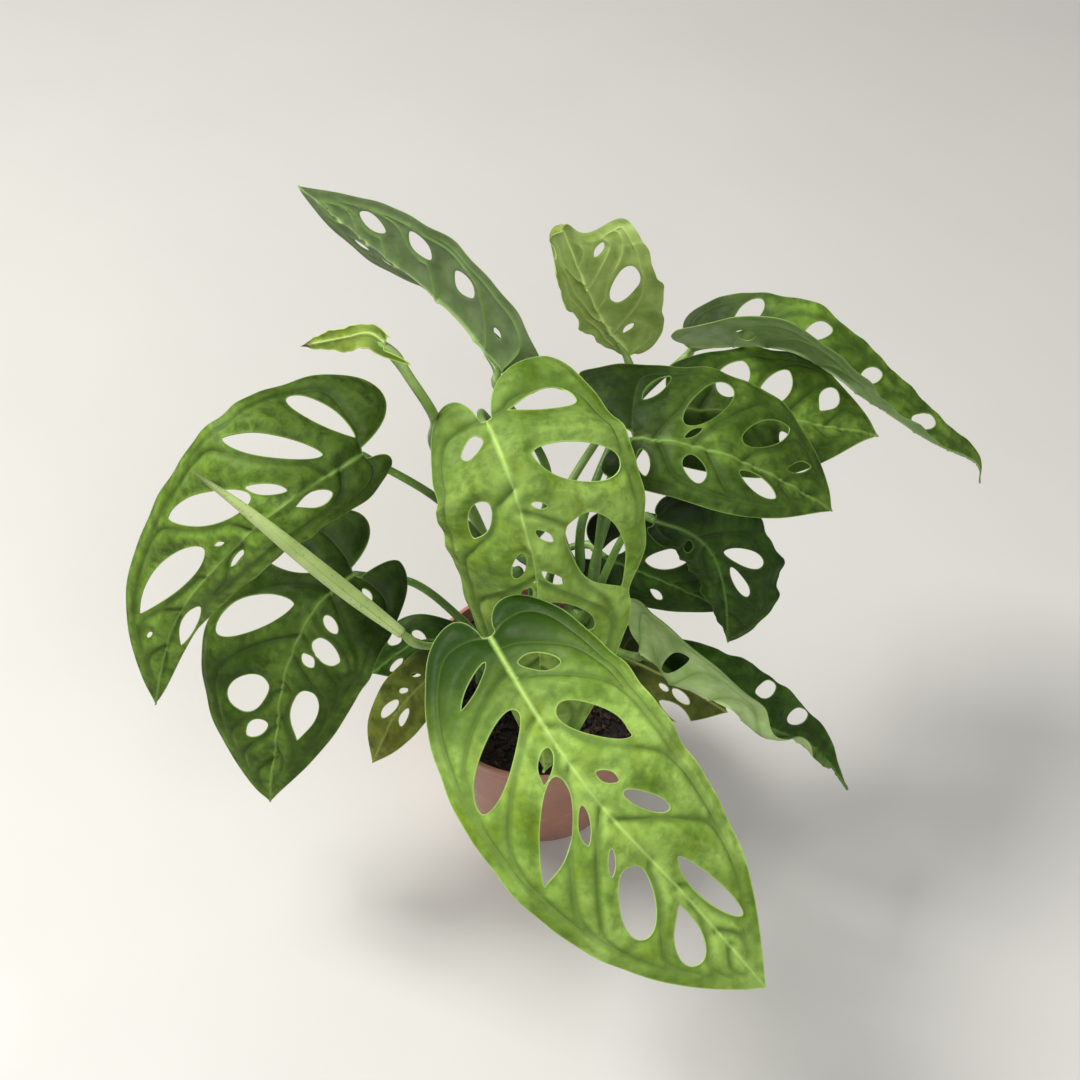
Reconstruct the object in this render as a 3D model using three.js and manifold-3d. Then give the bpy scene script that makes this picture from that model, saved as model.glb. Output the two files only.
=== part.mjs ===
// Monstera adansonii in a small tapered nursery pot.
// Millimetres, +Z up. The origin is the centre of the pot's underside, on the surface that it stands on.
// Seen from the front of the plant, +X is to the right and +Y goes to the back.
import * as THREE from 'three';
import { mergeVertices } from 'three/addons/utils/BufferGeometryUtils.js';
import Module from 'manifold-3d';

const wasm = await Module();
wasm.setup();

// ---------------------------------------------------------------- driving dimensions

const POT = { rimRadius: 60, baseRadius: 40.5, height: 91, wall: 1.5, floor: 2, sides: 40 };
const RIM = { band: 5, proud: 0.8 };
const DRAIN = { count: 6, radius: 4, ring: 27, sides: 8 };
const SOIL = { top: 83, mound: 3, lump: 0.8, lumpPitch: 9, rings: 5 };
const FIT_GAP = 0.35;

const BLADE = { thickness: 0.8, notch: 3, cell: 16, holeSides: 8, holeEgg: 0.12, cutter: 4 };
const EDGE_STEPS = { notch: 2, shoulder: 5, taper: 6 };
const ROW_BUNCHING = 1.1;
// How far the edge keeps its direction at the joints of its stretches, as shares of the next stretch.
const EDGE_PULL = { notchBack: 0.3, notchAlong: 0.35, notchOut: 0.06, lobe: 0.55, shoulder: 0.5, tip: 0.25 };
const PETIOLE = { baseRadius: 2.3, tipRadius: 1.6, sides: 8, pitch: 8, socket: 4 };
const NECK = { length: 5, drop: 7, lastDrop: 1.4, seat: 0.9 };
const VINE = { radius: 4.2, tipRadius: 3.4, sides: 10, steps: 9, rooted: 38 };
const ROLLED = { baseRadius: 3.4, tipRadius: 0.5, sides: 10, steps: 8 };

const GREEN = {
  bright: 0x78b446, mid: 0x64963a, dark: 0x3c6423, olive: 0x788232, pale: 0x9bc369, stem: 0x6f9a4a,
};
const TERRACOTTA = 0xc09286;
const BARK = 0x2e211b;
const ROUGHNESS = { pot: 0.5, soil: 0.95, stem: 0.6, blade: 0.5 };

// The creeping vines, from where they leave the soil up to their growing ends.
const VINES = {
  left: [[-21, -8, SOIL.top], [-21, -6, 105], [-16, 2, 135], [-10, 8, 168]],
  back: [[1, 13, SOIL.top], [0, 14, 110], [-3, 15, 150], [-4, 16, 190]],
  right: [[17, -2, SOIL.top], [17, 1, 110], [15, 7, 145], [13, 13, 172]],
};

// The leaves. The flat shape of a blade is given along its midrib and out from it, the left half first,
// as seen from the petiole with the upper side up.
//   rib     points of the midrib, from the petiole to the tip
//   face    the way the upper side looks, at the petiole and at the tip
//   halves  for each half: [lobe back, lobe out, widest at, half width, shoulder, tip fullness]
//   fold    degrees that each half rises from the midrib, at the petiole and, where it changes, at the tip
//   droop   degrees that each half bends down between the midrib and its edge
//   holes   [along, out, length, width, degrees from the midrib], out being negative on the right half
//   stalk   the vine that carries the leaf, the place on it from 0 to 1, and the bends of the petiole
const LEAVES = {
  front: {
    colour: GREEN.bright,
    rib: [[-22, -73, 222], [1, -122, 226], [25, -151, 210], [59, -172, 177], [93, -192, 138]],
    face: [[0, -0.45, 0.9], [0.1, -0.5, 0.85]],
    halves: [[12, 14, 74, 45, 0.55, 0.38], [14, 12, 88, 50, 0.55, 0.55]],
    fold: [[8, 0]],
    droop: [35, 25],
    holes: [
      [27, 12, 19, 11, 49], [65, 18, 34, 13, 34], [87, 9, 10, 5, 31], [106, 15, 22, 7, 25],
      [151, 10, 38, 10, 6], [21, -16, 24, 6, 50], [56, -23, 44, 15, 51], [69, -8, 15, 6, 42],
      [90, -21, 44, 18, 46], [96, -10, 15, 5, 34], [114, -12, 12, 3, 42], [134, -16, 32, 16, 32],
      [160, -10, 27, 12, 24],
    ],
    stalk: { vine: 'left', at: 0.3, bends: [[-28, -30, 145], [-31, -49, 185]] },
  },
  centre: {
    colour: GREEN.bright,
    rib: [[-23, -8, 284], [-12, -39, 279], [-2, -56, 241], [0, -57, 179], [2, -70, 109]],
    face: [[0.15, -0.65, 0.75], [0.1, -0.8, 0.55]],
    halves: [[26, 34, 35, 56, 0.35, 0.62], [18, 16, 62, 43, 0.5, 0.3]],
    fold: [[0, -27]],
    droop: [25, 30],
    holes: [
      [0, 26, 28, 11, 90], [35, 30, 40, 19, 63], [48, 8, 7, 3, 62], [62, 7, 9, 4, 43],
      [71, 27, 40, 22, 45], [80, 7, 12, 5, 44], [109, 18, 40, 13, 38], [157, 12, 13, 8, 20],
      [10, -11, 12, 9, 60], [50, -20, 24, 11, 24], [75, -8, 14, 6, 20], [93, -5, 9, 5, 15],
      [122, -11, 16, 6, 25],
    ],
    stalk: { vine: 'back', at: 0.75, bends: [[-9, 20, 222], [-25, 16, 262]] },
  },
  left: {
    colour: GREEN.mid,
    rib: [[-73, -10, 265], [-100, -39, 268], [-123, -46, 250], [-160, -45, 195], [-178, -53, 140]],
    face: [[0.1, -0.6, 0.8], [-0.2, -0.75, 0.6]],
    halves: [[10, 9, 20, 20, 0.05, 0.72], [25, 20, 30, 50, 0.45, 0.5]],
    fold: [[-15, 0]],
    droop: [40, 30],
    holes: [
      [33, 5.5, 20, 8, -13], [83, 4, 13, 3, 4], [138, 6, 30, 8, 1], [6, -24, 34, 12, 70],
      [35, -24, 46, 13, 42], [48, -10, 20, 6, 37], [79, -21, 50, 16, 24], [121, -13, 56, 16, 8],
      [155, -9, 6, 2, 22], [84, -6, 6, 2, 20],
    ],
    stalk: { vine: 'left', at: 0.76, bends: [[-26, 6, 185], [-47, 0, 226]] },
  },
  left_low: {
    colour: GREEN.dark,
    rib: [[-83, -13, 190], [-101, -36, 190], [-115, -53, 165], [-122, -67, 130], [-128, -77, 95]],
    face: [[-0.1, -0.7, 0.7], [-0.2, -0.7, 0.6]],
    halves: [[20, 10, 40, 37, 0.5, 0.28], [23, 18, 58, 45, 0.5, 0.5]],
    fold: [[0, 0]],
    droop: [25, 25],
    holes: [
      [4, 11, 7, 4, 86], [30, 10, 10, 7, 65], [44, 14, 15, 12, 60], [52, 8, 8, 6, 60],
      [82, 12, 28, 13, -8], [18, -23, 24, 11, 70], [46, -24, 42, 17, 48], [79, -16, 26, 17, 42],
      [96, -10, 14, 9, 38],
    ],
    stalk: { vine: 'left', at: 0.43, bends: [[-37, -4, 142], [-60, -3, 170]] },
  },
  back_left: {
    colour: GREEN.mid,
    rib: [[-16, 42, 262], [-44, 71, 277], [-78, 99, 289], [-110, 123, 302]],
    face: [[0.5, 0.85, -0.1], [0.5, 0.85, -0.1]],
    halves: [[14, 20, 36, 37, 0.5, 0.35], [8, 12, 60, 24, 0.5, 0.5]],
    fold: [[0, 75], [0, 5]],
    droop: [10, 0],
    holes: [
      [12, 14, 6, 4, 20], [36, 20, 13, 12, 20], [62, 20, 15, 11, 20], [89, 12, 16, 9, -5],
      [50, -12, 12, 7, 20], [78, -9, 10, 7, 5], [93, -9, 9, 5, 5],
    ],
    stalk: { vine: 'back', at: 0.92, bends: [[3, 27, 215]] },
  },
  top_curled: {
    colour: GREEN.pale,
    rib: [[40, 61, 255], [29, 60, 275], [21, 59, 295], [14, 63, 313], [10, 64, 326]],
    face: [[0, 0.9, 0.1], [0, 0.9, 0.1]],
    halves: [[2, 5, 48, 31, 0.7, 0.8], [3, 5, 45, 20, 0.6, 0.6]],
    fold: [[0, 45]],
    droop: [10, 0],
    holes: [
      [16, 8, 8, 3, 63], [42, 16, 24, 11, 42], [61, 10, 6, 4, 56], [64, 5, 5, 3, 72],
      [66, 14, 10, 4, 14],
    ],
    stalk: { vine: 'right', at: 0.95, bends: [[10, 24, 195], [36, 54, 228]] },
  },
  far_right: {
    colour: GREEN.mid,
    rib: [[71, 95, 229], [116, 77, 243], [155, 66, 221], [188, 64, 196], [216, 73, 171], [221, 72, 157]],
    face: [[0, -0.3, 0.95], [0.5, -0.1, 0.8]],
    halves: [[4, 10, 30, 27, 0.25, 0.6], [4, 8, 45, 27, 0.2, 0.05]],
    fold: [[25, 75]],
    droop: [25, 0],
    holes: [
      [28, 15, 20, 11, 60], [60, 14, 14, 8, 50], [93, 11, 13, 8, 40], [132, 7, 18, 8, 20],
      [30, -12, 10, 6, 30],
    ],
    stalk: { vine: 'right', at: 0.84, bends: [[20, 26, 180], [45, 74, 210]] },
  },
  right_back: {
    colour: GREEN.mid,
    rib: [[60, 48, 234], [91, 43, 236], [124, 41, 231], [158, 46, 218]],
    face: [[0, -0.35, 0.93], [0, -0.35, 0.93]],
    halves: [[4, 18, 60, 40, 0.4, 0.35], [14, 16, 35, 30, 0.45, 0.15]],
    fold: [[0, 0]],
    droop: [25, 25],
    holes: [
      [27, 18, 20, 15, 70], [48, 16, 24, 13, 58], [77, 14, 16, 11, 50], [30, -14, 16, 8, 60],
      [55, -12, 14, 7, 50],
    ],
    stalk: { vine: 'right', at: 0.73, bends: [[27, 14, 172], [42, 36, 210]] },
  },
  right: {
    colour: GREEN.mid,
    rib: [[39, 9, 255], [65, 2, 257], [96, -3, 247], [131, -3, 220]],
    face: [[0, -0.35, 0.93], [0, -0.35, 0.93]],
    halves: [[30, 30, 40, 43, 0.55, 0.55], [10, 16, 40, 25, 0.5, 0.3]],
    fold: [[0, 0]],
    droop: [25, 25],
    holes: [
      [6, 27, 18, 8, 60], [33, 22, 30, 13, 60], [27, 6, 10, 3, 42], [62, 18, 28, 13, 38],
      [81, 10, 14, 6, 33], [7, -10, 17, 7, 70], [33, -10, 14, 10, 45], [67, -6, 22, 9, 12],
    ],
    stalk: { vine: 'right', at: 0.62, bends: [[25, -2, 165], [30, 8, 222]] },
  },
  right_hanging: {
    colour: GREEN.dark,
    rib: [[52, 2, 207], [68, 1, 200], [81, 3, 180], [89, 6, 147], [94, 10, 105]],
    face: [[0, -0.75, 0.65], [-0.1, -0.98, 0.1]],
    halves: [[2, 6, 60, 29, 0.55, 0.5], [2, 4, 45, 14, 0.3, 0.2]],
    fold: [[0, 0]],
    droop: [25, 35],
    holes: [[50, 13, 24, 9, 38], [66, 8, 26, 6, 12], [24, -6, 9, 5, 30]],
    stalk: { vine: 'right', at: 0.5, bends: [[30, 4, 165], [41, 10, 193]] },
  },
  behind_centre: {
    colour: GREEN.dark,
    rib: [[28, 25, 156], [59, 25, 137], [80, 26, 122], [95, 28, 108]],
    face: [[-0.1, -0.9, 0.4], [-0.1, -0.9, 0.4]],
    halves: [[14, 16, 35, 32, 0.5, 0.35], [14, 16, 30, 18, 0.5, 0.35]],
    fold: [[0, 0]],
    droop: [15, 15],
    holes: [[6, 8, 18, 9, 60], [33, 12, 22, 12, 30], [40, -8, 10, 4, 20]],
    stalk: { vine: 'back', at: 0.35, bends: [[5, 29, 136], [11, 33, 150]] },
  },
  olive_right: {
    colour: GREEN.olive,
    rib: [[39, -8, 120], [66, -18, 112], [93, -23, 93]],
    face: [[0, -0.5, 0.85], [0, -0.5, 0.85]],
    halves: [[8, 10, 25, 20, 0.5, 0.35], [8, 10, 25, 20, 0.5, 0.35]],
    fold: [[0, 0]],
    droop: [15, 15],
    holes: [[22, 9, 10, 5, 50], [26, -5, 6, 3, 10], [36, -5, 12, 5, 10], [37, -13, 20, 7, 6]],
    stalk: { vine: 'right', at: 0.12, bends: [[27, -4, 108]] },
  },
  lower_right: {
    colour: GREEN.dark,
    rib: [[46, -36, 160], [72, -58, 160], [103, -63, 140], [130, -57, 112], [149, -62, 85]],
    face: [[0, -0.3, 0.95], [0.3, -0.3, 0.9]],
    halves: [[1, 4, 90, 24, 0.45, 0.35], [10, 26, 15, 35, 0.3, 0.05]],
    fold: [[15, 120], [15, 60]],
    droop: [25, 30],
    holes: [[68, 16, 16, 8, 35], [93, 10, 17, 8, 25], [35, -12, 12, 6, 40]],
    stalk: { vine: 'right', at: 0.3, bends: [[28, -17, 137]] },
  },
  olive_left: {
    colour: GREEN.olive,
    rib: [[-45, -23, 135], [-54, -34, 135], [-69, -42, 118], [-81, -53, 93]],
    face: [[-0.1, -0.6, 0.8], [-0.1, -0.6, 0.8]],
    halves: [[4, 8, 26, 14, 0.6, 0.5], [5, 8, 22, 14, 0.6, 0.5]],
    fold: [[0, 0]],
    droop: [15, 15],
    holes: [[16, 5, 5, 3, 12], [37, 4, 11, 4, 7], [16, -5, 5, 2, 45], [26, -4, 5, 3, 27], [38, -4, 13, 5, 11]],
    stalk: { vine: 'left', at: 0.2, bends: [[-31, -11, 118]] },
  },
  dark_left: {
    colour: GREEN.dark,
    rib: [[-44, 2, 118], [-61, 0, 120], [-83, -8, 105]],
    face: [[-0.1, -0.5, 0.85], [-0.1, -0.5, 0.85]],
    halves: [[4, 8, 22, 14, 0.5, 0.35], [4, 8, 22, 14, 0.5, 0.35]],
    fold: [[0, 0]],
    droop: [15, 15],
    holes: [[32, 4, 10, 4, 5], [15, -3, 8, 4, 42], [27, -7, 8, 6, 37]],
    stalk: { vine: 'left', at: 0.1, bends: [[-31, -3, 108]] },
  },
  unfurling: {
    colour: GREEN.pale,
    rib: [[-55, 1, 304], [-63, 7, 313], [-79, 19, 303], [-102, 28, 290]],
    face: [[0.5, -0.5, 0.7], [0, -0.5, 0.85]],
    halves: [[3, 4, 25, 6, 0.5, 0.3], [3, 4, 25, 6, 0.5, 0.3]],
    fold: [[30, 30]],
    droop: [0, 0],
    holes: [],
    stalk: { vine: 'left', at: 0.93, bends: [[-32, 20, 195], [-47, 20, 238], [-45, 7, 268]] },
  },
};

// The newest leaf is still rolled up into a spike, on a petiole of its own.
const SPIKE = {
  axis: [[-60, -56, 200], [-87, -57, 238], [-118, -52, 275], [-137, -48, 293]],
  stalk: { vine: 'left', at: 0.55, bends: [[-33, -25, 140], [-42, -45, 175]] },
};

// ---------------------------------------------------------------- geometry helpers

const radians = THREE.MathUtils.degToRad;
const lerp = THREE.MathUtils.lerp;
const vector = (coordinates) => new THREE.Vector3(...coordinates);

/** A smooth curve through the given points, with room to swing out between them. */
function curveThrough(points) {
  return new THREE.CatmullRomCurve3(points, false, 'catmullrom', 0.5);
}

/** A smooth curve that keeps close to its points where long and short stretches meet. */
function tightCurveThrough(points) {
  return new THREE.CatmullRomCurve3(points, false, 'centripetal');
}

/** Welds the vertices of a closed geometry, drops collapsed triangles and turns the faces outwards. */
function weld(geometry) {
  const bare = geometry.clone();
  bare.deleteAttribute('normal');
  bare.deleteAttribute('uv');
  const merged = mergeVertices(bare, 1e-4);
  const position = merged.attributes.position;
  const kept = [];
  let volume = 0;
  for (let i = 0; i < merged.index.count; i += 3) {
    const [a, b, c] = [0, 1, 2].map((corner) => merged.index.getX(i + corner));
    if (a === b || b === c || c === a) continue;
    kept.push(a, b, c);
    const [p, q, r] = [a, b, c].map((vertex) => new THREE.Vector3().fromBufferAttribute(position, vertex));
    volume += p.dot(q.cross(r));
  }
  if (volume < 0) kept.reverse();
  merged.setIndex(kept);
  return merged;
}

/** Makes one welded geometry from a list of triangles, each of three points. */
function fromTriangles(triangles) {
  const geometry = new THREE.BufferGeometry();
  const coordinates = triangles.flat().flatMap((point) => point.toArray());
  geometry.setAttribute('position', new THREE.Float32BufferAttribute(coordinates, 3));
  return weld(geometry);
}

function toSolid(geometry) {
  const welded = weld(geometry);
  const vertProperties = new Float32Array(welded.attributes.position.array);
  const triVerts = new Uint32Array(welded.index.array);
  return new wasm.Manifold(new wasm.Mesh({ numProp: 3, vertProperties, triVerts }));
}

function toGeometry(solid) {
  const mesh = solid.getMesh();
  const geometry = new THREE.BufferGeometry();
  geometry.setAttribute('position', new THREE.BufferAttribute(mesh.vertProperties, 3));
  geometry.setIndex(new THREE.BufferAttribute(mesh.triVerts, 1));
  return geometry;
}

function cut(geometry, cutters) {
  const solid = cutters.reduce((rest, cutter) => rest.subtract(toSolid(cutter)), toSolid(geometry));
  return toGeometry(solid);
}

/** Bends a tapered cylinder along a curve, from its first radius to its last. */
function taperedTube(curve, startRadius, endRadius, sides, steps) {
  const geometry = new THREE.CylinderGeometry(endRadius, startRadius, 1, sides, steps);
  const frames = curve.computeFrenetFrames(steps);
  const position = geometry.attributes.position;
  const point = new THREE.Vector3();
  for (let i = 0; i < position.count; i += 1) {
    const ring = Math.round((position.getY(i) + 0.5) * steps);
    point.copy(curve.getPointAt(ring / steps));
    point.addScaledVector(frames.normals[ring], position.getX(i));
    point.addScaledVector(frames.binormals[ring], position.getZ(i));
    position.setXYZ(i, point.x, point.y, point.z);
  }
  return weld(geometry);
}

// ---------------------------------------------------------------- pot and soil

/** Outer radius of the plain pot wall at a height. */
const potRadius = (height) => lerp(POT.baseRadius, POT.rimRadius - RIM.proud, height / POT.height);

function potGeometry() {
  const bandFoot = POT.height - RIM.band;
  const profile = [
    [0, 0],
    [POT.baseRadius, 0],
    [potRadius(bandFoot - RIM.proud), bandFoot - RIM.proud],
    [potRadius(bandFoot) + RIM.proud, bandFoot],
    [POT.rimRadius, POT.height],
    [potRadius(POT.height) - POT.wall, POT.height],
    [potRadius(POT.floor) - POT.wall, POT.floor],
    [0, POT.floor],
  ].map(([radius, height]) => new THREE.Vector2(radius, height));
  const shell = new THREE.LatheGeometry(profile, POT.sides).rotateX(Math.PI / 2);
  const drains = [];
  for (let i = 0; i < DRAIN.count; i += 1) {
    const turn = (i / DRAIN.count) * 2 * Math.PI;
    const drain = new THREE.CylinderGeometry(DRAIN.radius, DRAIN.radius, 4 * POT.floor, DRAIN.sides);
    drain.rotateX(Math.PI / 2).translate(DRAIN.ring * Math.cos(turn), DRAIN.ring * Math.sin(turn), 0);
    drains.push(drain);
  }
  return cut(shell, drains);
}

/** Height of the bark mix at a place: a low mound with lumps. */
function soilHeight(x, y) {
  const spread = Math.min(1, Math.hypot(x, y) / potRadius(SOIL.top));
  const lumps = Math.sin((2 * Math.PI * x) / SOIL.lumpPitch) * Math.cos((2 * Math.PI * y) / SOIL.lumpPitch);
  return SOIL.top + SOIL.mound * (1 - spread * spread) + SOIL.lump * lumps;
}

function soilGeometry(sockets) {
  const bottom = POT.floor + FIT_GAP;
  const radiusAt = (height) => potRadius(height) - POT.wall - FIT_GAP;
  const profile = [new THREE.Vector2(0, bottom), new THREE.Vector2(radiusAt(bottom), bottom)];
  for (let i = SOIL.rings; i >= 0; i -= 1) {
    profile.push(new THREE.Vector2((radiusAt(SOIL.top) * i) / SOIL.rings, SOIL.top));
  }
  const body = new THREE.LatheGeometry(profile, POT.sides).rotateX(Math.PI / 2);
  const position = body.attributes.position;
  const edge = radiusAt(SOIL.top) - 1;
  for (let i = 0; i < position.count; i += 1) {
    const [x, y, z] = [position.getX(i), position.getY(i), position.getZ(i)];
    if (z > SOIL.top - 1 && Math.hypot(x, y) < edge) position.setZ(i, soilHeight(x, y));
  }
  return cut(body, sockets);
}

// ---------------------------------------------------------------- vines and petioles

/** The curve of a vine, with its end buried to a depth in the soil. */
function vineCurve(points, depth) {
  const [foot, ...rest] = points.map(vector);
  const buried = foot.clone().setZ(foot.z - depth);
  return curveThrough([buried, foot, ...rest]);
}

/** Place, direction and radius of a vine, at a share of the length that stands above the soil. */
function onVine(name, share) {
  const curve = curveThrough(VINES[name].map(vector));
  const length = curve.getLength();
  const shareWithRoot = (VINE.rooted + share * length) / (VINE.rooted + length);
  const radius = lerp(VINE.radius, VINE.tipRadius, shareWithRoot);
  return { centre: curve.getPointAt(share), tangent: curve.getTangentAt(share), radius };
}

/** The way of a petiole, square out of its vine, round its bends and straight into the blade. */
function petioleCurve(stalk, approach) {
  const { centre, tangent, radius } = onVine(stalk.vine, stalk.at);
  const bends = stalk.bends.map(vector);
  const out = bends[0].clone().sub(centre);
  out.addScaledVector(tangent, -out.dot(tangent)).normalize();
  const start = centre.clone().addScaledVector(out, radius + FIT_GAP);
  const collar = start.clone().addScaledVector(out, PETIOLE.socket);
  return tightCurveThrough([start, collar, ...bends, ...approach]);
}

function petioleGeometry(curve) {
  const steps = Math.max(5, Math.round(curve.getLength() / PETIOLE.pitch));
  return taperedTube(curve, PETIOLE.baseRadius, PETIOLE.tipRadius, PETIOLE.sides, steps);
}

// ---------------------------------------------------------------- leaf blades

const HALF_WIDTH = 3; // the place of the half width in the list of a half
const LEAST_DROOP = 0.01; // degrees, so that a flat half has a bend to divide by

/** The bent surface of a blade: maps (along, out, up) of the flat blade to a point in the plant. */
function bladeSurface(leaf) {
  const rib = curveThrough(leaf.rib.map(vector));
  const length = rib.getLength();
  const [baseFace, tipFace] = leaf.face.map((direction) => vector(direction).normalize());
  const baseFold = leaf.fold[0];
  const tipFold = leaf.fold.at(-1);

  function frameAt(along) {
    const share = THREE.MathUtils.clamp(along / length, 0, 1);
    const tangent = rib.getTangentAt(share);
    const normal = baseFace.clone().lerp(tipFace, share);
    normal.addScaledVector(tangent, -normal.dot(tangent)).normalize();
    const side = normal.clone().cross(tangent);
    const origin = rib.getPointAt(share).addScaledVector(tangent, along - share * length);
    return { share, tangent, normal, side, origin };
  }

  function point(along, out, up = 0) {
    const { share, normal, side, origin } = frameAt(along);
    const half = out >= 0 ? 0 : 1;
    const fold = radians(lerp(baseFold[half], tipFold[half], share));
    const bend = -radians(Math.max(leaf.droop[half], LEAST_DROOP)) / leaf.halves[half][HALF_WIDTH];
    const turn = fold + bend * Math.abs(out);
    const across = (Math.sin(turn) - Math.sin(fold)) / bend - up * Math.sin(turn);
    const rise = (Math.cos(fold) - Math.cos(turn)) / bend + up * Math.cos(turn);
    return origin.addScaledVector(side, half === 0 ? across : -across).addScaledVector(normal, rise);
  }

  return { length, frameAt, point };
}

/** The flat outline of one half: the notch from the lobe's back end in to the petiole, and the outer edge. */
function halfOutline(half, length) {
  const [back, lobe, widestAt, width, shoulder, fullness] = half;
  const rest = length - widestAt;
  const bezier = (...points) => new THREE.CubicBezierCurve(...points.map(([x, y]) => new THREE.Vector2(x, y)));
  const notchCurve = bezier(
    [-back, lobe],
    [-back, lerp(BLADE.notch, lobe, EDGE_PULL.notchBack)],
    [-EDGE_PULL.notchAlong * back, lerp(BLADE.notch, lobe, EDGE_PULL.notchOut)],
    [0, BLADE.notch],
  );
  const shoulderCurve = bezier(
    [-back, lobe],
    [-back, lerp(lobe, width, EDGE_PULL.lobe)],
    [lerp(widestAt, -back, EDGE_PULL.shoulder), width],
    [widestAt, width],
  );
  const taperCurve = bezier(
    [widestAt, width],
    [widestAt + shoulder * rest, width],
    [length - EDGE_PULL.tip * rest, fullness * width],
    [length, 0],
  );
  const shoulderPoints = shoulderCurve.getPoints(EDGE_STEPS.shoulder).slice(0, -1);
  return {
    notch: notchCurve.getPoints(EDGE_STEPS.notch),
    outer: [...shoulderPoints, ...taperCurve.getPoints(EDGE_STEPS.taper)],
  };
}

/** Flat points of one half: rows of cells from the notch and the midrib out to the outer edge. */
function halfGrid(half, length, cells) {
  const { notch, outer } = halfOutline(half, length);
  const inner = [...notch, new THREE.Vector2(0, 0)];
  const feet = outer.length - inner.length;
  for (let i = 1; i <= feet; i += 1) inner.push(new THREE.Vector2(length * (i / feet) ** ROW_BUNCHING, 0));
  return outer.map((edge, i) => {
    const row = [];
    for (let j = 0; j <= cells; j += 1) row.push(inner[i].clone().lerp(edge, j / cells));
    return row;
  });
}

/** Triangles of one half of the plate: upper side, underside, outer edge and notch edge. */
function halfTriangles(surface, half, sign) {
  const cells = Math.max(1, Math.round(half[HALF_WIDTH] / BLADE.cell));
  const grid = halfGrid(half, surface.length, cells);
  const at = (i, j, up) => surface.point(grid[i][j].x, sign * grid[i][j].y, up * (BLADE.thickness / 2));
  const triangles = [];
  const quad = (a, b, c, d) => {
    if (sign > 0) triangles.push([a, b, c], [a, c, d]);
    else triangles.push([a, c, b], [a, d, c]);
  };
  const notchRows = EDGE_STEPS.notch + 1;
  for (let i = 0; i < grid.length - 1; i += 1) {
    for (let j = 0; j < cells; j += 1) {
      quad(at(i, j, 1), at(i + 1, j, 1), at(i + 1, j + 1, 1), at(i, j + 1, 1));
      quad(at(i, j, -1), at(i, j + 1, -1), at(i + 1, j + 1, -1), at(i + 1, j, -1));
    }
    quad(at(i, cells, 1), at(i + 1, cells, 1), at(i + 1, cells, -1), at(i, cells, -1));
    if (i < notchRows) quad(at(i, 0, 1), at(i, 0, -1), at(i + 1, 0, -1), at(i + 1, 0, 1));
  }
  return triangles;
}

/** A prism through the blade for one hole, bent with the blade. */
function holeCutter(surface, [along, out, length, width, degrees]) {
  const sign = Math.sign(out);
  const turn = radians(degrees);
  const ring = (up) => {
    const points = [];
    for (let i = 0; i < BLADE.holeSides; i += 1) {
      const angle = (i / BLADE.holeSides) * 2 * Math.PI;
      const x = (length / 2) * Math.cos(angle);
      const y = (width / 2) * Math.sin(angle) * (1 + BLADE.holeEgg * Math.cos(angle));
      const holeAlong = along + x * Math.cos(turn) - y * Math.sin(turn);
      const holeOut = out + sign * (x * Math.sin(turn) + y * Math.cos(turn));
      points.push(surface.point(holeAlong, holeOut, up));
    }
    return points;
  };
  const [top, bottom] = [ring(BLADE.cutter), ring(-BLADE.cutter)];
  const [topCentre, bottomCentre] = [BLADE.cutter, -BLADE.cutter].map((up) => surface.point(along, out, up));
  const triangles = [];
  top.forEach((point, i) => {
    const next = (i + 1) % top.length;
    triangles.push([topCentre, point, top[next]], [bottomCentre, bottom[next], bottom[i]]);
    triangles.push([point, bottom[i], bottom[next]], [point, bottom[next], top[next]]);
  });
  return fromTriangles(triangles);
}

function bladeGeometry(leaf, surface) {
  const [left, right] = leaf.halves;
  const plate = fromTriangles([...halfTriangles(surface, left, 1), ...halfTriangles(surface, right, -1)]);
  return cut(plate, leaf.holes.map((hole) => holeCutter(surface, hole)));
}

/** The last points of a petiole, which runs up the notch of its blade. */
function bladeApproach(surface) {
  const { origin, tangent, normal } = surface.frameAt(0);
  const behind = (back, down) => origin.clone().addScaledVector(tangent, -back).addScaledVector(normal, -down);
  return [behind(NECK.length, NECK.drop), behind(NECK.length / 2, NECK.lastDrop), behind(NECK.seat, 0)];
}

// ---------------------------------------------------------------- the plant

const plant = new THREE.Group();

function addPiece(name, geometry, color, roughness) {
  const mesh = new THREE.Mesh(geometry, new THREE.MeshStandardMaterial({ color, roughness, metalness: 0 }));
  mesh.name = name;
  plant.add(mesh);
}

addPiece('pot', potGeometry(), TERRACOTTA, ROUGHNESS.pot);

const sockets = [];
for (const [name, points] of Object.entries(VINES)) {
  const vine = taperedTube(vineCurve(points, VINE.rooted), VINE.radius, VINE.tipRadius, VINE.sides, VINE.steps);
  const roomy = [VINE.radius + FIT_GAP, VINE.tipRadius + FIT_GAP];
  addPiece(`vine_${name}`, vine, GREEN.stem, ROUGHNESS.stem);
  sockets.push(taperedTube(vineCurve(points, VINE.rooted + FIT_GAP), ...roomy, VINE.sides, VINE.steps));
}
addPiece('soil', soilGeometry(sockets), BARK, ROUGHNESS.soil);

for (const [name, leaf] of Object.entries(LEAVES)) {
  const surface = bladeSurface(leaf);
  const petiole = petioleGeometry(petioleCurve(leaf.stalk, bladeApproach(surface)));
  addPiece(`petiole_${name}`, petiole, GREEN.stem, ROUGHNESS.stem);
  addPiece(`leaf_${name}`, bladeGeometry(leaf, surface), leaf.colour, ROUGHNESS.blade);
}

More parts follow.
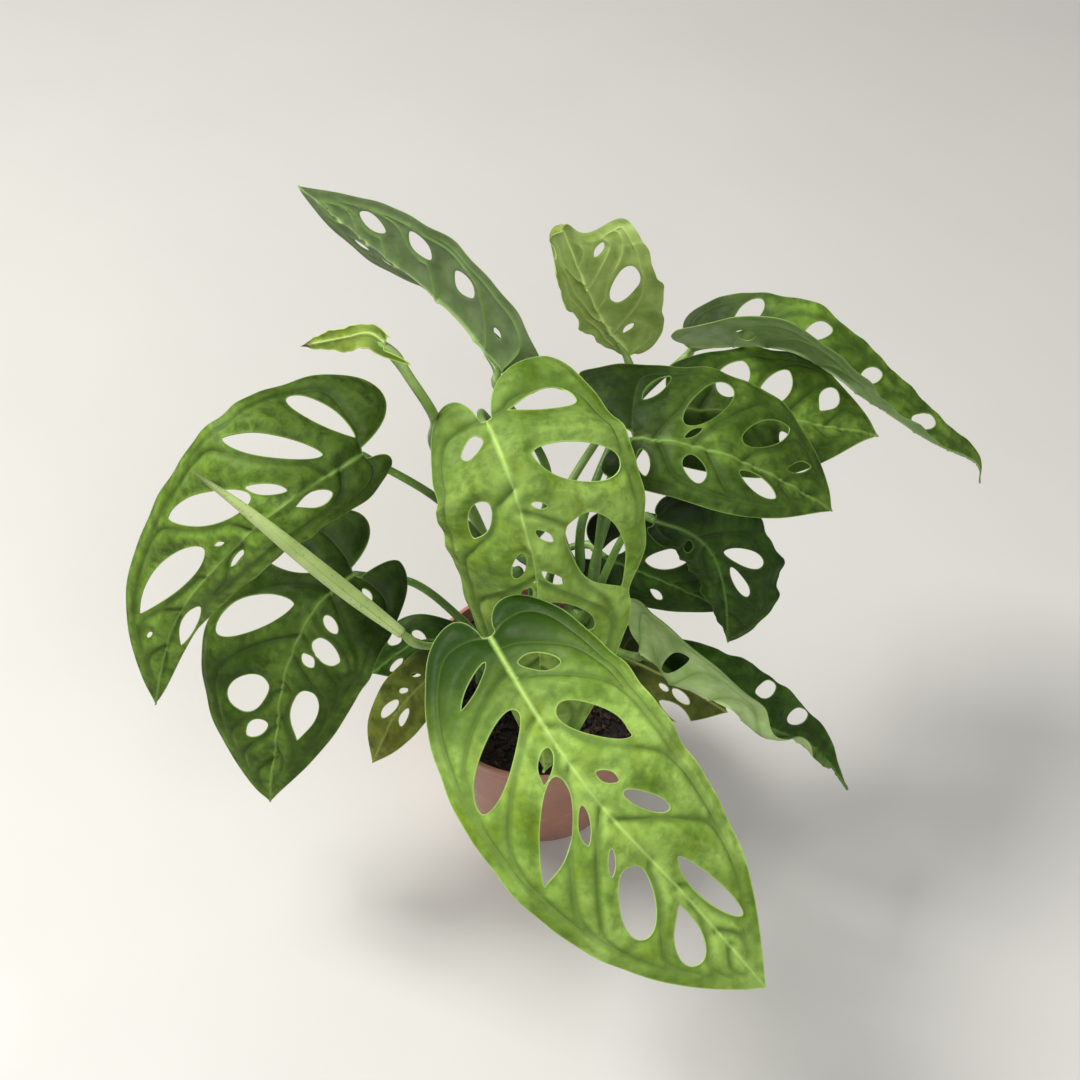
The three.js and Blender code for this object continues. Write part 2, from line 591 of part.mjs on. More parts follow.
const spikeAxis = SPIKE.axis.map(vector);
const spikeWay = spikeAxis[1].clone().sub(spikeAxis[0]).normalize();
const spikeApproach = [2 * NECK.length, FIT_GAP].map((back) => (
  spikeAxis[0].clone().addScaledVector(spikeWay, -back)
));
const spikePetiole = petioleGeometry(petioleCurve(SPIKE.stalk, spikeApproach));
const { baseRadius, tipRadius, sides, steps } = ROLLED;
addPiece('petiole_rolled', spikePetiole, GREEN.stem, ROUGHNESS.stem);
const spike = taperedTube(curveThrough(spikeAxis), baseRadius, tipRadius, sides, steps);
addPiece('leaf_rolled', spike, GREEN.pale, ROUGHNESS.blade);

export default plant;
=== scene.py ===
"""A young Monstera adansonii in its small pot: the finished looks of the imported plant, in its own frame."""

import logging
import math
from collections.abc import Callable, Iterator
from contextlib import contextmanager
from dataclasses import dataclass
from enum import Enum

import bpy
import numpy as np
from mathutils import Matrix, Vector
from mathutils.geometry import delaunay_2d_cdt


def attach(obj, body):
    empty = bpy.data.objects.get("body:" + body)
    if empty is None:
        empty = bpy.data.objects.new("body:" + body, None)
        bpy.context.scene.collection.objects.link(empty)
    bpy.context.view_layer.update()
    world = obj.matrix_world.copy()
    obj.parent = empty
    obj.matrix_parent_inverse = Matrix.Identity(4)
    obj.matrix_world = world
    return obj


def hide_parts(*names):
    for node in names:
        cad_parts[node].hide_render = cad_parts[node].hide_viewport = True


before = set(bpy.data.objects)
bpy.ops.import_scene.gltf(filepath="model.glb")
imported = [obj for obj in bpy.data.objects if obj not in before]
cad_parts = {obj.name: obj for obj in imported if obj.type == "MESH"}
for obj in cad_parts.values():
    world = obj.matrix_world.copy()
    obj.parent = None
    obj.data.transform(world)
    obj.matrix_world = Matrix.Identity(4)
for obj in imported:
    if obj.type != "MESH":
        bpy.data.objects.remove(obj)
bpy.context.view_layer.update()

MM = 0.001
SEED = 11
log = logging.getLogger("monstera")

# how light sinks into living leaf
FLESH = {"Subsurface_Weight": 0.12, "Subsurface_Radius": (1.0, 1.0, 0.35), "Subsurface_Scale": 0.0008}

Colour = tuple[float, float, float]
Point = tuple[float, float, float]
Pair = tuple[float, float]


# ------------------------------------------------------------------ small helpers


def srgb(red: float, green: float, blue: float) -> tuple[float, float, float, float]:
    """Turns a screen colour into the linear colour that shaders use.

    Args:
        red: red, 0 to 255.
        green: green, 0 to 255.
        blue: blue, 0 to 255.

    Returns:
        Linear red, green, blue and an alpha of 1.
    """

    def linear(value: float) -> float:
        """One channel, by the standard curve."""
        share = value / 255
        return share / 12.92 if share <= 0.04045 else ((share + 0.055) / 1.055) ** 2.4

    return (linear(red), linear(green), linear(blue), 1.0)


def smooth_step(low: float, high: float, value: np.ndarray) -> np.ndarray:
    """0 below low, 1 above high, and a smooth rise between them."""
    share = np.clip((value - low) / (high - low), 0, 1)
    return share * share * (3 - 2 * share)


def hill(gap: np.ndarray, reach: float | np.ndarray, power: float = 2) -> np.ndarray:
    """1 where a gap is 0, fading away at that reach, the faster the higher the power."""
    return np.exp(-((gap / reach) ** power))


def blend(start: float, end: float, share: float | np.ndarray) -> float | np.ndarray:
    """A straight blend from start to end."""
    return start + (end - start) * share


def unit(vectors: np.ndarray) -> np.ndarray:
    """The same directions at length 1."""
    return vectors / np.maximum(np.linalg.norm(vectors, axis=-1, keepdims=True), 1e-9)


def bezier(points: list[Pair], steps: int) -> np.ndarray:
    """Points along a cubic Bezier curve.

    Args:
        points: its four control points.
        steps: how many stretches to cut it into.

    Returns:
        steps + 1 flat points.
    """
    p0, p1, p2, p3 = (np.array(p, float) for p in points)
    t = np.linspace(0, 1, steps + 1)[:, None]
    return (1 - t) ** 3 * p0 + 3 * (1 - t) ** 2 * t * p1 + 3 * (1 - t) * t**2 * p2 + t**3 * p3


def evenly(points: np.ndarray, pitch: float) -> np.ndarray:
    """Walks along a line of points in even steps.

    Args:
        points: the line.
        pitch: the wanted step.

    Returns:
        Points on the line, both of its ends among them.
    """
    steps = np.linalg.norm(np.diff(points, axis=0), axis=1)
    reach = np.concatenate([[0], np.cumsum(steps)])
    count = max(2, int(round(reach[-1] / pitch)) + 1)
    places = np.linspace(0, reach[-1], count)
    return np.stack([np.interp(places, reach, points[:, i]) for i in range(points.shape[1])], 1)


def squares(points: np.ndarray, targets: np.ndarray) -> np.ndarray:
    """The squared distance from each point to each target."""
    square = (points**2).sum(1)[:, None] + (targets**2).sum(1)[None, :] - 2 * points @ targets.T
    return np.maximum(square, 0)


def nearest(points: np.ndarray, targets: np.ndarray) -> tuple[np.ndarray, np.ndarray]:
    """Finds the nearest target of each point.

    Args:
        points: the points.
        targets: the points that they are measured to.

    Returns:
        The distance from each point to its nearest target, and which target that is.
    """
    gaps = np.empty(len(points))
    which = np.empty(len(points), int)
    batch = 4000
    for start in range(0, len(points), batch):
        part = slice(start, start + batch)
        square = squares(points[part], targets)
        which[part] = square.argmin(1)
        gaps[part] = np.sqrt(square.min(1))
    return gaps, which


def pulls(points: np.ndarray, lines: np.ndarray, reaches: Point) -> tuple[np.ndarray, ...]:
    """How strongly a set of lines is felt at each point, in three ways.

    Args:
        points: the flat points.
        lines: points along the lines, with their strength in the third column.
        reaches: how far a thin soft line, a broad soft line and a sharp crease are felt.

    Returns:
        The thin line, the broad line and the crease, each from 0 to 1.
    """
    thin, broad, sharp = reaches
    head = np.log(np.maximum(lines[:, 2], 1e-4))
    felt = np.empty((3, len(points)))
    batch = 2000
    for start in range(0, len(points), batch):
        part = slice(start, start + batch)
        square = squares(points[part], lines[:, :2])
        falls = (square / thin**2, square / broad**2, np.sqrt(square) / sharp)
        for row, fall in zip(felt, falls):
            row[part] = (head - fall).max(1)
    return tuple(np.exp(felt))


def crosswise(ways: np.ndarray) -> np.ndarray:
    """Flat directions, each turned a quarter to the left."""
    return np.stack([-ways[:, 1], ways[:, 0]], 1)


class Curve3:
    """A smooth curve through points, walked by its own length in millimetres."""

    SAMPLES = 64

    def __init__(self, points: list[Point] | np.ndarray, tight: bool = False) -> None:
        """Samples the curve.

        Args:
            points: the points that it passes through.
            tight: True for a curve that doesn't swing out on short stretches.
        """
        way = np.array(points, float)
        way = np.vstack([2 * way[0] - way[1], way, 2 * way[-1] - way[-2]])
        parts = []
        for i in range(1, len(way) - 2):
            p0, p1, p2, p3 = way[i - 1 : i + 3]
            d0, d1, d2 = (np.linalg.norm(b - a) ** 0.5 for a, b in ((p0, p1), (p1, p2), (p2, p3)))
            if tight:
                t1 = ((p1 - p0) / d0 - (p2 - p0) / (d0 + d1) + (p2 - p1) / d1) * d1
                t2 = ((p2 - p1) / d1 - (p3 - p1) / (d1 + d2) + (p3 - p2) / d2) * d1
            else:
                t1, t2 = (p2 - p0) / 2, (p3 - p1) / 2
            t = np.linspace(0, 1, self.SAMPLES, endpoint=False)[:, None]
            parts.append(
                (2 * t**3 - 3 * t**2 + 1) * p1
                + (t**3 - 2 * t**2 + t) * t1
                + (3 * t**2 - 2 * t**3) * p2
                + (t**3 - t**2) * t2
            )
        self.points = np.vstack([*parts, way[-2:-1]])
        steps = np.linalg.norm(np.diff(self.points, axis=0), axis=1)
        self.reach = np.concatenate([[0], np.cumsum(steps)])
        self.length = float(self.reach[-1])
        self.tangents = unit(np.gradient(self.points, self.reach, axis=0))

    def at(self, places: np.ndarray) -> np.ndarray:
        """Points at these lengths along the curve."""
        return np.stack([np.interp(places, self.reach, self.points[:, i]) for i in range(3)], -1)

    def way(self, places: np.ndarray) -> np.ndarray:
        """Directions of the curve at these lengths along it."""
        found = [np.interp(places, self.reach, self.tangents[:, i]) for i in range(3)]
        return unit(np.stack(found, -1))


# ------------------------------------------------------------------ finishes


class Recipe:
    """The node tree of one material, written step by step."""

    def __init__(self, name: str) -> None:
        """Starts an empty material.

        Args:
            name: its name.
        """
        self.material = bpy.data.materials.new(name)
        self.material.use_nodes = True
        self.tree = self.material.node_tree
        self.tree.nodes.clear()

    def step(self, kind: str, output: int | str, inputs: dict, **settings: object) -> bpy.types.NodeSocket:
        """Adds a node, sets it and feeds it.

        Args:
            kind: the kind of node.
            output: which of its outputs is wanted.
            inputs: its inputs, each a number, a colour or another node's output.
            **settings: its own options.

        Returns:
            The wanted output.
        """
        made = self.tree.nodes.new(kind)
        for option, value in settings.items():
            setattr(made, option, value)
        for name, value in inputs.items():
            if isinstance(value, bpy.types.NodeSocket):
                self.tree.links.new(value, made.inputs[name])
            else:
                made.inputs[name].default_value = value
        return made.outputs[output]

    def place(self) -> bpy.types.NodeSocket:
        """The place in the piece, in metres."""
        return self.step("ShaderNodeTexCoord", "Object", {})

    def flat(self, name: str) -> bpy.types.NodeSocket:
        """The piece's own flat map."""
        return self.step("ShaderNodeUVMap", "UV", {}, uv_map=name)

    def mark(self, name: str, strength: float = 1.0) -> bpy.types.NodeSocket:
        """A number that the mesh holds at each point, times a strength."""
        value = self.step("ShaderNodeAttribute", "Fac", {}, attribute_name=name)
        return value if strength == 1.0 else self.maths("MULTIPLY", value, strength)

    def stretched(self, vector: object, scale: Point) -> bpy.types.NodeSocket:
        """A pattern's place, stretched along its axes."""
        return self.step("ShaderNodeMapping", "Vector", {"Vector": vector, "Scale": scale})

    def noise(self, vector: object, scale: float, detail: float = 2.0, rough: float = 0.5) -> object:
        """Soft noise from 0 to 1, with that many finer layers and that strength of them."""
        inputs = {"Vector": vector, "Scale": scale, "Detail": detail, "Roughness": rough}
        return self.step("ShaderNodeTexNoise", "Fac", inputs)

    def cells(self, vector: object, scale: float, feature: str) -> bpy.types.NodeSocket:
        """A net of cells of that feature, as the distance to each cell's middle."""
        inputs = {"Vector": vector, "Scale": scale}
        return self.step("ShaderNodeTexVoronoi", "Distance", inputs, feature=feature)

    def span(self, value: object, low: float, high: float, to: Pair = (0, 1)) -> bpy.types.NodeSocket:
        """Spreads the values from low to high over the two numbers of to."""
        inputs = {"Value": value, "From Min": low, "From Max": high, "To Min": to[0], "To Max": to[1]}
        return self.step("ShaderNodeMapRange", "Result", inputs)

    def uneven(self, vector: object, scale: float, detail: float, to: Pair) -> bpy.types.NodeSocket:
        """A roughness that wanders between two numbers with a noise of that scale and detail."""
        return self.span(self.noise(vector, scale, detail), 0.3, 0.7, to)

    def maths(self, operation: str, first: object, second: object) -> bpy.types.NodeSocket:
        """Arithmetic on two values."""
        return self.step("ShaderNodeMath", 0, {0: first, 1: second}, operation=operation)

    def mix(self, share: object, *pair: object) -> bpy.types.NodeSocket:
        """Mixes a share of the second colour into the first, each a node's output or a screen colour."""
        first, second = (srgb(*one) if isinstance(one, tuple) else one for one in pair)
        return self.step("ShaderNodeMix", 2, {0: share, 6: first, 7: second}, data_type="RGBA")

    def coats(self, base: object, *layers: tuple[object, Colour]) -> object:
        """Lays colours over a base, one after another.

        Args:
            base: the colour at the bottom.
            *layers: how much each coat covers, and its screen colour.

        Returns:
            The mixed colour.
        """
        for share, colour in layers:
            base = self.mix(share, base, colour)
        return base

    def bump(self, height: object, depth: float, strength: float, **under: object) -> bpy.types.NodeSocket:
        """Relief from a height pattern, its depth in metres, over the Normal that under may give."""
        inputs = {"Height": height, "Strength": strength, "Distance": depth} | under
        return self.step("ShaderNodeBump", "Normal", inputs)

    def finish(self, **sockets: object) -> bpy.types.Material:
        """Ends the tree in one surface shader.

        Args:
            **sockets: the shader's inputs, with underscores for spaces.

        Returns:
            The material.
        """
        inputs = {name.replace("_", " "): value for name, value in sockets.items()}
        surface = self.step("ShaderNodeBsdfPrincipled", 0, inputs)
        out = self.tree.nodes.new("ShaderNodeOutputMaterial")
        self.tree.links.new(surface, out.inputs["Surface"])
        return self.material


@dataclass(frozen=True)
class LeafFinish:
    """The greens of a leaf, as screen colours, and its gloss."""

    name: str
    deep: Colour
    mid: Colour
    light: Colour
    rib: Colour
    under: Colour
    under_deep: Colour
    mottle: float = 0.85
    roughness: float = 0.54
    SCORCHED = (58, 42, 22)

    def upper(self) -> bpy.types.Material:
        """The upper side: mottled, paler beside its veins as a painted highlight, with painted shade in their
        grooves, on its base lobes and over a leaf in shade, painted light along the midrib and over a leaf in
        the light, and pale on the midrib.
        """
        r = Recipe(f"{self.name}_upper")
        flat = r.flat("blade")
        broad = r.span(r.noise(flat, 3.4, 3, 0.55), 0.36, 0.64)
        blotch = r.span(r.noise(flat, 14, 5, 0.68), 0.44, 0.62)
        patch = r.span(r.noise(r.stretched(flat, (1, 1.7, 1)), 4.6, 2), 0.5, 0.7)
        net = r.cells(flat, 28, "SMOOTH_F1")
        # the lighter green: broad random noise, painted light along the midrib and over a leaf in the light,
        # and painted highlights beside the veins
        light = r.maths("MAXIMUM", broad, r.mark("glow", 0.9))
        light = r.maths("MAXIMUM", light, r.mark("halo", 0.7))
        red, green, blue = self.mid
        warm = (min(255, red * 1.22), green * 1.06, blue * 0.6)
        # fewer dark blotches beside the veins, for the same painted highlights
        away = r.span(r.mark("halo"), 0.1, 0.8, (0.7 * self.mottle, 0.2 * self.mottle))
        colour = r.coats(
            r.mix(light, self.mid, self.light),
            (r.maths("MULTIPLY", patch, 0.55), warm),
            (r.maths("MULTIPLY", blotch, away), self.deep),
            (r.span(net, 0.3, 0.7, (0.0, 0.3 * self.mottle)), self.deep),
            # painted shade in the grooves beside the veins
            (r.mark("groove", 0.68), self.deep),
            # painted shade over a leaf in shade and on its base lobes
            (r.maths("MINIMUM", r.mark("shade"), 1.0), self.deep),
            (r.mark("vein", 0.14), self.rib),
            (r.mark("rib"), self.rib),
            (r.mark("rim", 0.7), self.rib),
            (r.mark("scorch"), self.SCORCHED),
        )
        relief = r.bump(r.span(net, 0.1, 0.8, (1, 0)), 0.0005, 0.35)
        relief = r.bump(r.noise(flat, 34, 4, 0.65), 0.0005, 0.45, Normal=relief)
        gloss = r.uneven(flat, 16, 3, (self.roughness - 0.05, self.roughness + 0.12))
        return r.finish(
            Base_Color=colour, Roughness=gloss, Normal=relief, IOR=1.45, Specular_IOR_Level=0.2, **FLESH
        )

    def lower(self) -> bpy.types.Material:
        """The underside: paler and more matt, with lighter veins and its midrib the palest, painted shade
        along the veins and over a leaf in shade.
        """
        r = Recipe(f"{self.name}_underside")
        flat = r.flat("blade")
        net = r.cells(flat, 26, "SMOOTH_F1")
        blotch = r.span(r.noise(flat, 9, 4, 0.6), 0.35, 0.65)
        palest = tuple(1.12 * max(pair) for pair in zip(self.rib, self.under))
        colour = r.coats(
            r.mix(blotch, self.under, self.under_deep),
            # painted shade over the underside of a leaf in shade
            (r.mark("gloom"), self.deep),
            # painted shade along the veins
            (r.mark("groove", 0.4), self.under_deep),
            (r.mark("vein", 0.6), self.rib),
            (r.mark("keel"), palest),
            (r.mark("scorch"), self.SCORCHED),
        )
        relief = r.bump(r.span(net, 0.1, 0.8), 0.0005, 0.35)
        relief = r.bump(r.noise(flat, 40, 4, 0.6), 0.0003, 0.4, Normal=relief)
        gloss = r.uneven(flat, 16, 3, (0.5, 0.62))
        return r.finish(Base_Color=colour, Roughness=gloss, Normal=relief, IOR=1.4, **FLESH)

    def margin(self) -> bpy.types.Material:
        """The thin pale edge of the blade and of its holes."""
        r = Recipe(f"{self.name}_margin")
        return r.finish(Base_Color=r.mix(r.noise(r.flat("blade"), 25), self.rib, self.light), Roughness=0.5)


@dataclass(frozen=True)
class StemFinish:
    """The green of stems and petioles, and the colour of their flecks and joints."""

    name: str
    deep: Colour
    light: Colour
    fleck: Colour

    def material(self) -> bpy.types.Material:
        """A smooth green skin with faint streaks, small flecks and marked joints."""
        r = Recipe(self.name)
        place = r.place()
        streak = r.noise(r.stretched(place, (900, 900, 160)), 1)
        colour = r.coats(
            r.mix(r.span(r.noise(place, 45, 3), 0.35, 0.65), self.deep, self.light),
            (r.span(streak, 0.55, 0.75, (0, 0.35)), self.deep),
            (r.span(r.cells(place, 420, "F1"), 0.1, 0.22, (0.5, 0.0)), self.fleck),
            (r.mark("joint"), self.fleck),
        )
        return r.finish(
            Base_Color=colour,
            Roughness=r.uneven(place, 120, 2, (0.42, 0.58)),
            Normal=r.bump(streak, 0.0003, 0.3),
            Subsurface_Weight=0.15,
            Subsurface_Radius=(0.6, 1.0, 0.2),
            Subsurface_Scale=0.0015,
        )


@dataclass(frozen=True)
class PotFinish:
    """Moulded terracotta-pink plastic, dusty after handling."""

    body: Colour = (184, 130, 110)
    shade: Colour = (164, 113, 94)
    dust: Colour = (190, 162, 148)
    speck: Colour = (92, 66, 56)

    def material(self) -> bpy.types.Material:
        """A satin skin with faint flow marks, patches of dust and specks of bark dust."""
        r = Recipe("pot_plastic")
        place = r.place()
        flow = r.span(r.noise(r.stretched(place, (1, 1, 0.35)), 26, 3), 0.35, 0.65)
        colour = r.coats(
            r.mix(flow, self.body, self.shade),
            (r.span(r.noise(place, 140, 5, 0.7), 0.56, 0.72, (0, 0.35)), self.dust),
            (r.span(r.cells(place, 260, "F1"), 0.05, 0.1, (0.35, 0)), self.speck),
        )
        relief = r.bump(r.noise(place, 900), 0.00006, 0.35)
        return r.finish(Base_Color=colour, Roughness=r.uneven(place, 60, 3, (0.36, 0.52)), Normal=relief)


@dataclass(frozen=True)
class BarkFinish:
    """Moist bark and fibre, each piece in its own brown."""

    dark: Colour = (20, 14, 11)
    brown: Colour = (66, 44, 31)
    pale: Colour = (118, 88, 64)

    def material(self) -> bpy.types.Material:
        """Rough brown bark whose tone changes from chip to chip."""
        r = Recipe("bark_mix")
        grain = r.noise(r.place(), 700, 4, 0.65)
        tone = r.maths("ADD", r.mark("tone"), r.span(grain, 0.3, 0.7, (-0.25, 0.25)))
        colour = r.mix(r.span(tone, 0.1, 0.75), self.dark, self.brown)
        colour = r.mix(r.span(tone, 0.8, 1.1), colour, self.pale)
        gloss = r.span(grain, 0.3, 0.7, (0.6, 0.9))
        return r.finish(Base_Color=colour, Roughness=gloss, Normal=r.bump(grain, 0.0012, 0.9))


@dataclass(frozen=True)
class FloorFinish:
    """A plain pale table top."""

    light: Colour = (208, 206, 201)
    grey: Colour = (201, 199, 195)

    def material(self) -> bpy.types.Material:
        """Off-white, with the faintest unevenness."""
        r = Recipe("pale_floor")
        place = r.place()
        colour = r.mix(r.noise(place, 6, 3), self.light, self.grey)
        return r.finish(Base_Color=colour, Roughness=r.uneven(place, 9, 2, (0.5, 0.6)))


class Green(Enum):
    """The leaf colours of this plant; the dark green is partly painted shade for leaves deep in the plant,
    the bright green's light tone is partly a painted sheen, and the undersides are pale as real ones are and
    painted paler still for light bouncing up from the floor.
    """

    BRIGHT = LeafFinish(
        "leaf_bright", (34, 62, 8), (102, 136, 35), (160, 193, 92), (168, 200, 106),
        (142, 168, 90), (112, 142, 62), 0.58,
    )
    MID = LeafFinish(
        "leaf_mid", (14, 32, 2), (50, 80, 12), (118, 152, 54), (118, 148, 68),
        (142, 168, 106), (112, 140, 78),
    )
    DARK = LeafFinish(
        "leaf_dark", (8, 22, 1), (28, 55, 4), (66, 102, 22), (96, 126, 56),
        (176, 200, 134), (138, 166, 94),
    )
    OLIVE = LeafFinish(
        "leaf_olive", (40, 48, 10), (110, 125, 42), (148, 160, 72), (160, 170, 90),
        (120, 128, 64), (90, 98, 42),
    )
    PALE = LeafFinish(
        "leaf_pale", (80, 104, 28), (136, 162, 62), (166, 190, 90), (184, 204, 118),
        (156, 180, 98), (126, 150, 68),
    )

    @property
    def slot(self) -> str:
        """The material slot of this green."""
        return self.value.name


# ------------------------------------------------------------------ pieces by hand


def only(piece: bpy.types.Object) -> None:
    """Selects one piece and nothing else.

    Args:
        piece: the piece, which becomes the active one.
    """
    bpy.ops.object.select_all(action="DESELECT")
    piece.select_set(True)
    bpy.context.view_layer.objects.active = piece


def add(operator: Callable[..., set[str]], name: str, **options: object) -> bpy.types.Object:
    """Adds a primitive, a lamp or a camera with nothing else selected.

    Args:
        operator: the operator that adds it.
        name: its name.
        **options: its sizes, and its place where that isn't the origin.

    Returns:
        What was added.
    """
    bpy.ops.object.select_all(action="DESELECT")
    operator(**({"location": (0, 0, 0)} | options))
    piece = bpy.context.object
    piece.name = name
    piece.data.name = name
    return piece


@contextmanager
def editing() -> Iterator[None]:
    """Opens the active piece for editing with all of it selected, and closes it at the end."""
    bpy.ops.object.mode_set(mode="EDIT")
    bpy.ops.mesh.select_all(action="SELECT")
    yield
    bpy.ops.object.mode_set(mode="OBJECT")


def raise_ring(rise: float, grow: float, height: float) -> None:
    """Extrudes the selected face upward and resizes it there.

    Args:
        rise: how far it goes up, in millimetres.
        grow: how much wider it becomes.
        height: its new height, in millimetres.
    """
    bpy.ops.mesh.extrude_region_move(TRANSFORM_OT_translate={"value": (0, 0, rise * MM)})
    bpy.ops.transform.resize(value=(grow, grow, 1), center_override=(0, 0, height * MM))


def face_outward(piece: bpy.types.Object, merge: float = 0.0) -> None:
    """Turns every face of a closed piece outward.

    Args:
        piece: the piece.
        merge: how near each other points are merged before that, in millimetres, or 0 for none.
    """
    only(piece)
    with editing():
        if merge:
            bpy.ops.mesh.remove_doubles(threshold=merge * MM)
        bpy.ops.mesh.normals_make_consistent(inside=False)


def smooth(piece: bpy.types.Object, degrees: float) -> None:
    """Shades a piece smoothly, apart from the edges that are sharper than that."""
    only(piece)
    bpy.ops.object.shade_smooth_by_angle(angle=math.radians(degrees))


def apply_all(piece: bpy.types.Object) -> None:
    """Applies every modifier of a piece, then its place, turn and size.

    Args:
        piece: the piece.
    """
    only(piece)
    for modifier in list(piece.modifiers):
        bpy.ops.object.modifier_apply(modifier=modifier.name)
    bpy.ops.object.transform_apply(location=True, rotation=True, scale=True)


def points_of(piece: bpy.types.Object) -> np.ndarray:
    """Reads the points of a piece.

    Args:
        piece: the piece.

    Returns:
        Its points, in millimetres.
    """
    spots = np.empty(len(piece.data.vertices) * 3)
    piece.data.vertices.foreach_get("co", spots)
    return spots.reshape(-1, 3) / MM


def mesh_piece(name: str, points: np.ndarray, faces: list[tuple[int, ...]]) -> bpy.types.Object:
    """Makes a piece of given points and faces.

    Args:
        name: its name.
        points: its points, in millimetres.
        faces: its faces, each as the numbers of its points.

    Returns:
        The piece.
    """
    mesh = bpy.data.meshes.new(name)
    mesh.from_pydata((points * MM).tolist(), [], faces)
    piece = bpy.data.objects.new(name, mesh)
    bpy.context.scene.collection.objects.link(piece)
    return piece


def write_mark(piece: bpy.types.Object, name: str, values: np.ndarray) -> None:
    """Stores one number per point of a piece for its material to read."""
    made = piece.data.attributes.new(name, "FLOAT", "POINT")
    made.data.foreach_set("value", np.asarray(values, np.float32))


def seat(piece: bpy.types.Object, slot: str, *nodes: str) -> None:
    """Lets a finished piece ride on the plant and stand for its solids.

    Args:
        piece: the piece.
        slot: the material slot that it belongs to; not used.
        *nodes: the solids that it stands for.
    """
    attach(piece, "root")
    if nodes:
        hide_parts(*nodes)
    log.info("%s: %d faces", piece.name, len(piece.data.polygons))


@dataclass
class Tube:
    """A round stem of changing thickness along a line of points, in millimetres.

    A joint is how strongly each point of the line shows the finish of a joint.
    """

    name: str
    points: np.ndarray
    radii: np.ndarray
    joint: np.ndarray
    sides: int
    MERGE = 0.01
    SHARP = 50

    def build(self, skin: bpy.types.Material) -> bpy.types.Object:
        """Draws the stem from a path and dresses it.

        Args:
            skin: its material.

        Returns:
            The stem as a closed mesh.
        """
        line = add(bpy.ops.curve.primitive_nurbs_path_add, self.name).data
        line.splines.clear()
        line.dimensions = "3D"
        line.twist_mode = "MINIMUM"
        spline = line.splines.new("POLY")
        spline.points.add(len(self.points) - 1)
        spline.points.foreach_set("co", np.c_[self.points * MM, np.ones(len(self.points))].ravel())
        spline.points.foreach_set("radius", self.radii)
        spline.use_smooth = True
        line.bevel_depth = MM
        line.bevel_resolution = (self.sides - 4) // 2
        line.use_fill_caps = True
        only(bpy.context.object)
        bpy.ops.object.convert(target="MESH")
        stem = bpy.context.object
        face_outward(stem, self.MERGE)
        smooth(stem, self.SHARP)
        _, which = nearest(points_of(stem), self.points)
        write_mark(stem, "joint", self.joint[which])
        stem.data.materials.append(skin)
        return stem


# ------------------------------------------------------------------ leaves


@dataclass(frozen=True)
class Half:
    """Half of a flat blade: how far its lobe reaches back and out, where it is widest and how it tapers.

    A large tuck draws the edge in before the tip.
    """

    back: float
    lobe: float
    widest: float
    width: float
    shoulder: float
    fullness: float
    tuck: float = 0.25
    NOTCH = 3.0
    NOTCH_STEPS = 24
    SHOULDER_STEPS = 40
    TAPER_STEPS = 60

    def notch_edge(self) -> np.ndarray:
        """The edge from the back of the lobe in to the petiole."""
        return bezier(
            [
                (-self.back, self.lobe),
                (-self.back, blend(self.NOTCH, self.lobe, 0.3)),
                (-0.35 * self.back, blend(self.NOTCH, self.lobe, 0.06)),
                (0, self.NOTCH),
            ],
            self.NOTCH_STEPS,
        )

    def outer_edge(self, length: float) -> np.ndarray:
        """Draws the edge from the back of the lobe round to the tip.

        Args:
            length: the length of the blade's midrib.

        Returns:
            Flat points.
        """
        rest = length - self.widest
        shoulder = bezier(
            [
                (-self.back, self.lobe),
                (-self.back, blend(self.lobe, self.width, 0.55)),
                (blend(self.widest, -self.back, 0.5), self.width),
                (self.widest, self.width),
            ],
            self.SHOULDER_STEPS,
        )
        taper = bezier(
            [
                (self.widest, self.width),
                (self.widest + self.shoulder * rest, self.width),
                (length - self.tuck * rest, self.fullness * self.width),
                (length, 0),
            ],
            self.TAPER_STEPS,
        )
        return np.vstack([shoulder[:-1], taper])


@dataclass(frozen=True)
class Hole:
    """One hole of a flat blade: its middle, its size and slant, and how far its shape is from an oval."""

    along: float
    out: float
    length: float
    width: float
    slant: float
    egg: float = 0.12
    near: float = 0.1
    far: float = 0.15
    lean: float = 0.0

    @property
    def side(self) -> int:
        """1 in the left half of the blade, -1 in the right half."""
        return 1 if self.out >= 0 else -1

    @property
    def way(self) -> np.ndarray:
        """The flat direction of its length, outward from the midrib."""
        turn = math.radians(self.slant)
        return np.array([math.cos(turn), self.side * math.sin(turn)])

    @property
    def over(self) -> np.ndarray:
        """The flat direction of its width, towards the base of the blade."""
        along, out = self.way
        return np.array([-self.side * out, self.side * along])

    def edge(self, wobble: np.ndarray) -> np.ndarray:
        """Its edge as a closed loop of flat points.

        Args:
            wobble: four numbers from -1 to 1 that make it a little uneven, as grown holes are.

        Returns:
            Points from its outer end round to the same end.
        """
        angle = np.linspace(0, 2 * math.pi, 121)
        c, s = np.cos(angle), np.sin(angle)
        bumps = 1 + 0.04 * (
            wobble[0] * np.cos(3 * angle + 3 * wobble[1]) + wobble[2] * np.cos(4 * angle + 3 * wobble[3])
        )
        point = blend(self.near, self.far, smooth_step(-0.7, 0.7, c))
        x = self.length / 2 * c * bumps
        y = self.width / 2 * np.sign(s) * np.abs(s) ** (1 + point) * bumps
        y = y * (1 + self.egg * c) * (1 - self.lean * np.sign(s))
        return np.array([self.along, self.out]) + x[:, None] * self.way + y[:, None] * self.over


@dataclass(frozen=True)
class Stalk:
    """Where a petiole leaves its vine, from 0 at the soil to 1 at the top, its bends and its stoutness."""

    vine: str
    share: float
    bends: list[Point]
    stout: float = 1.0


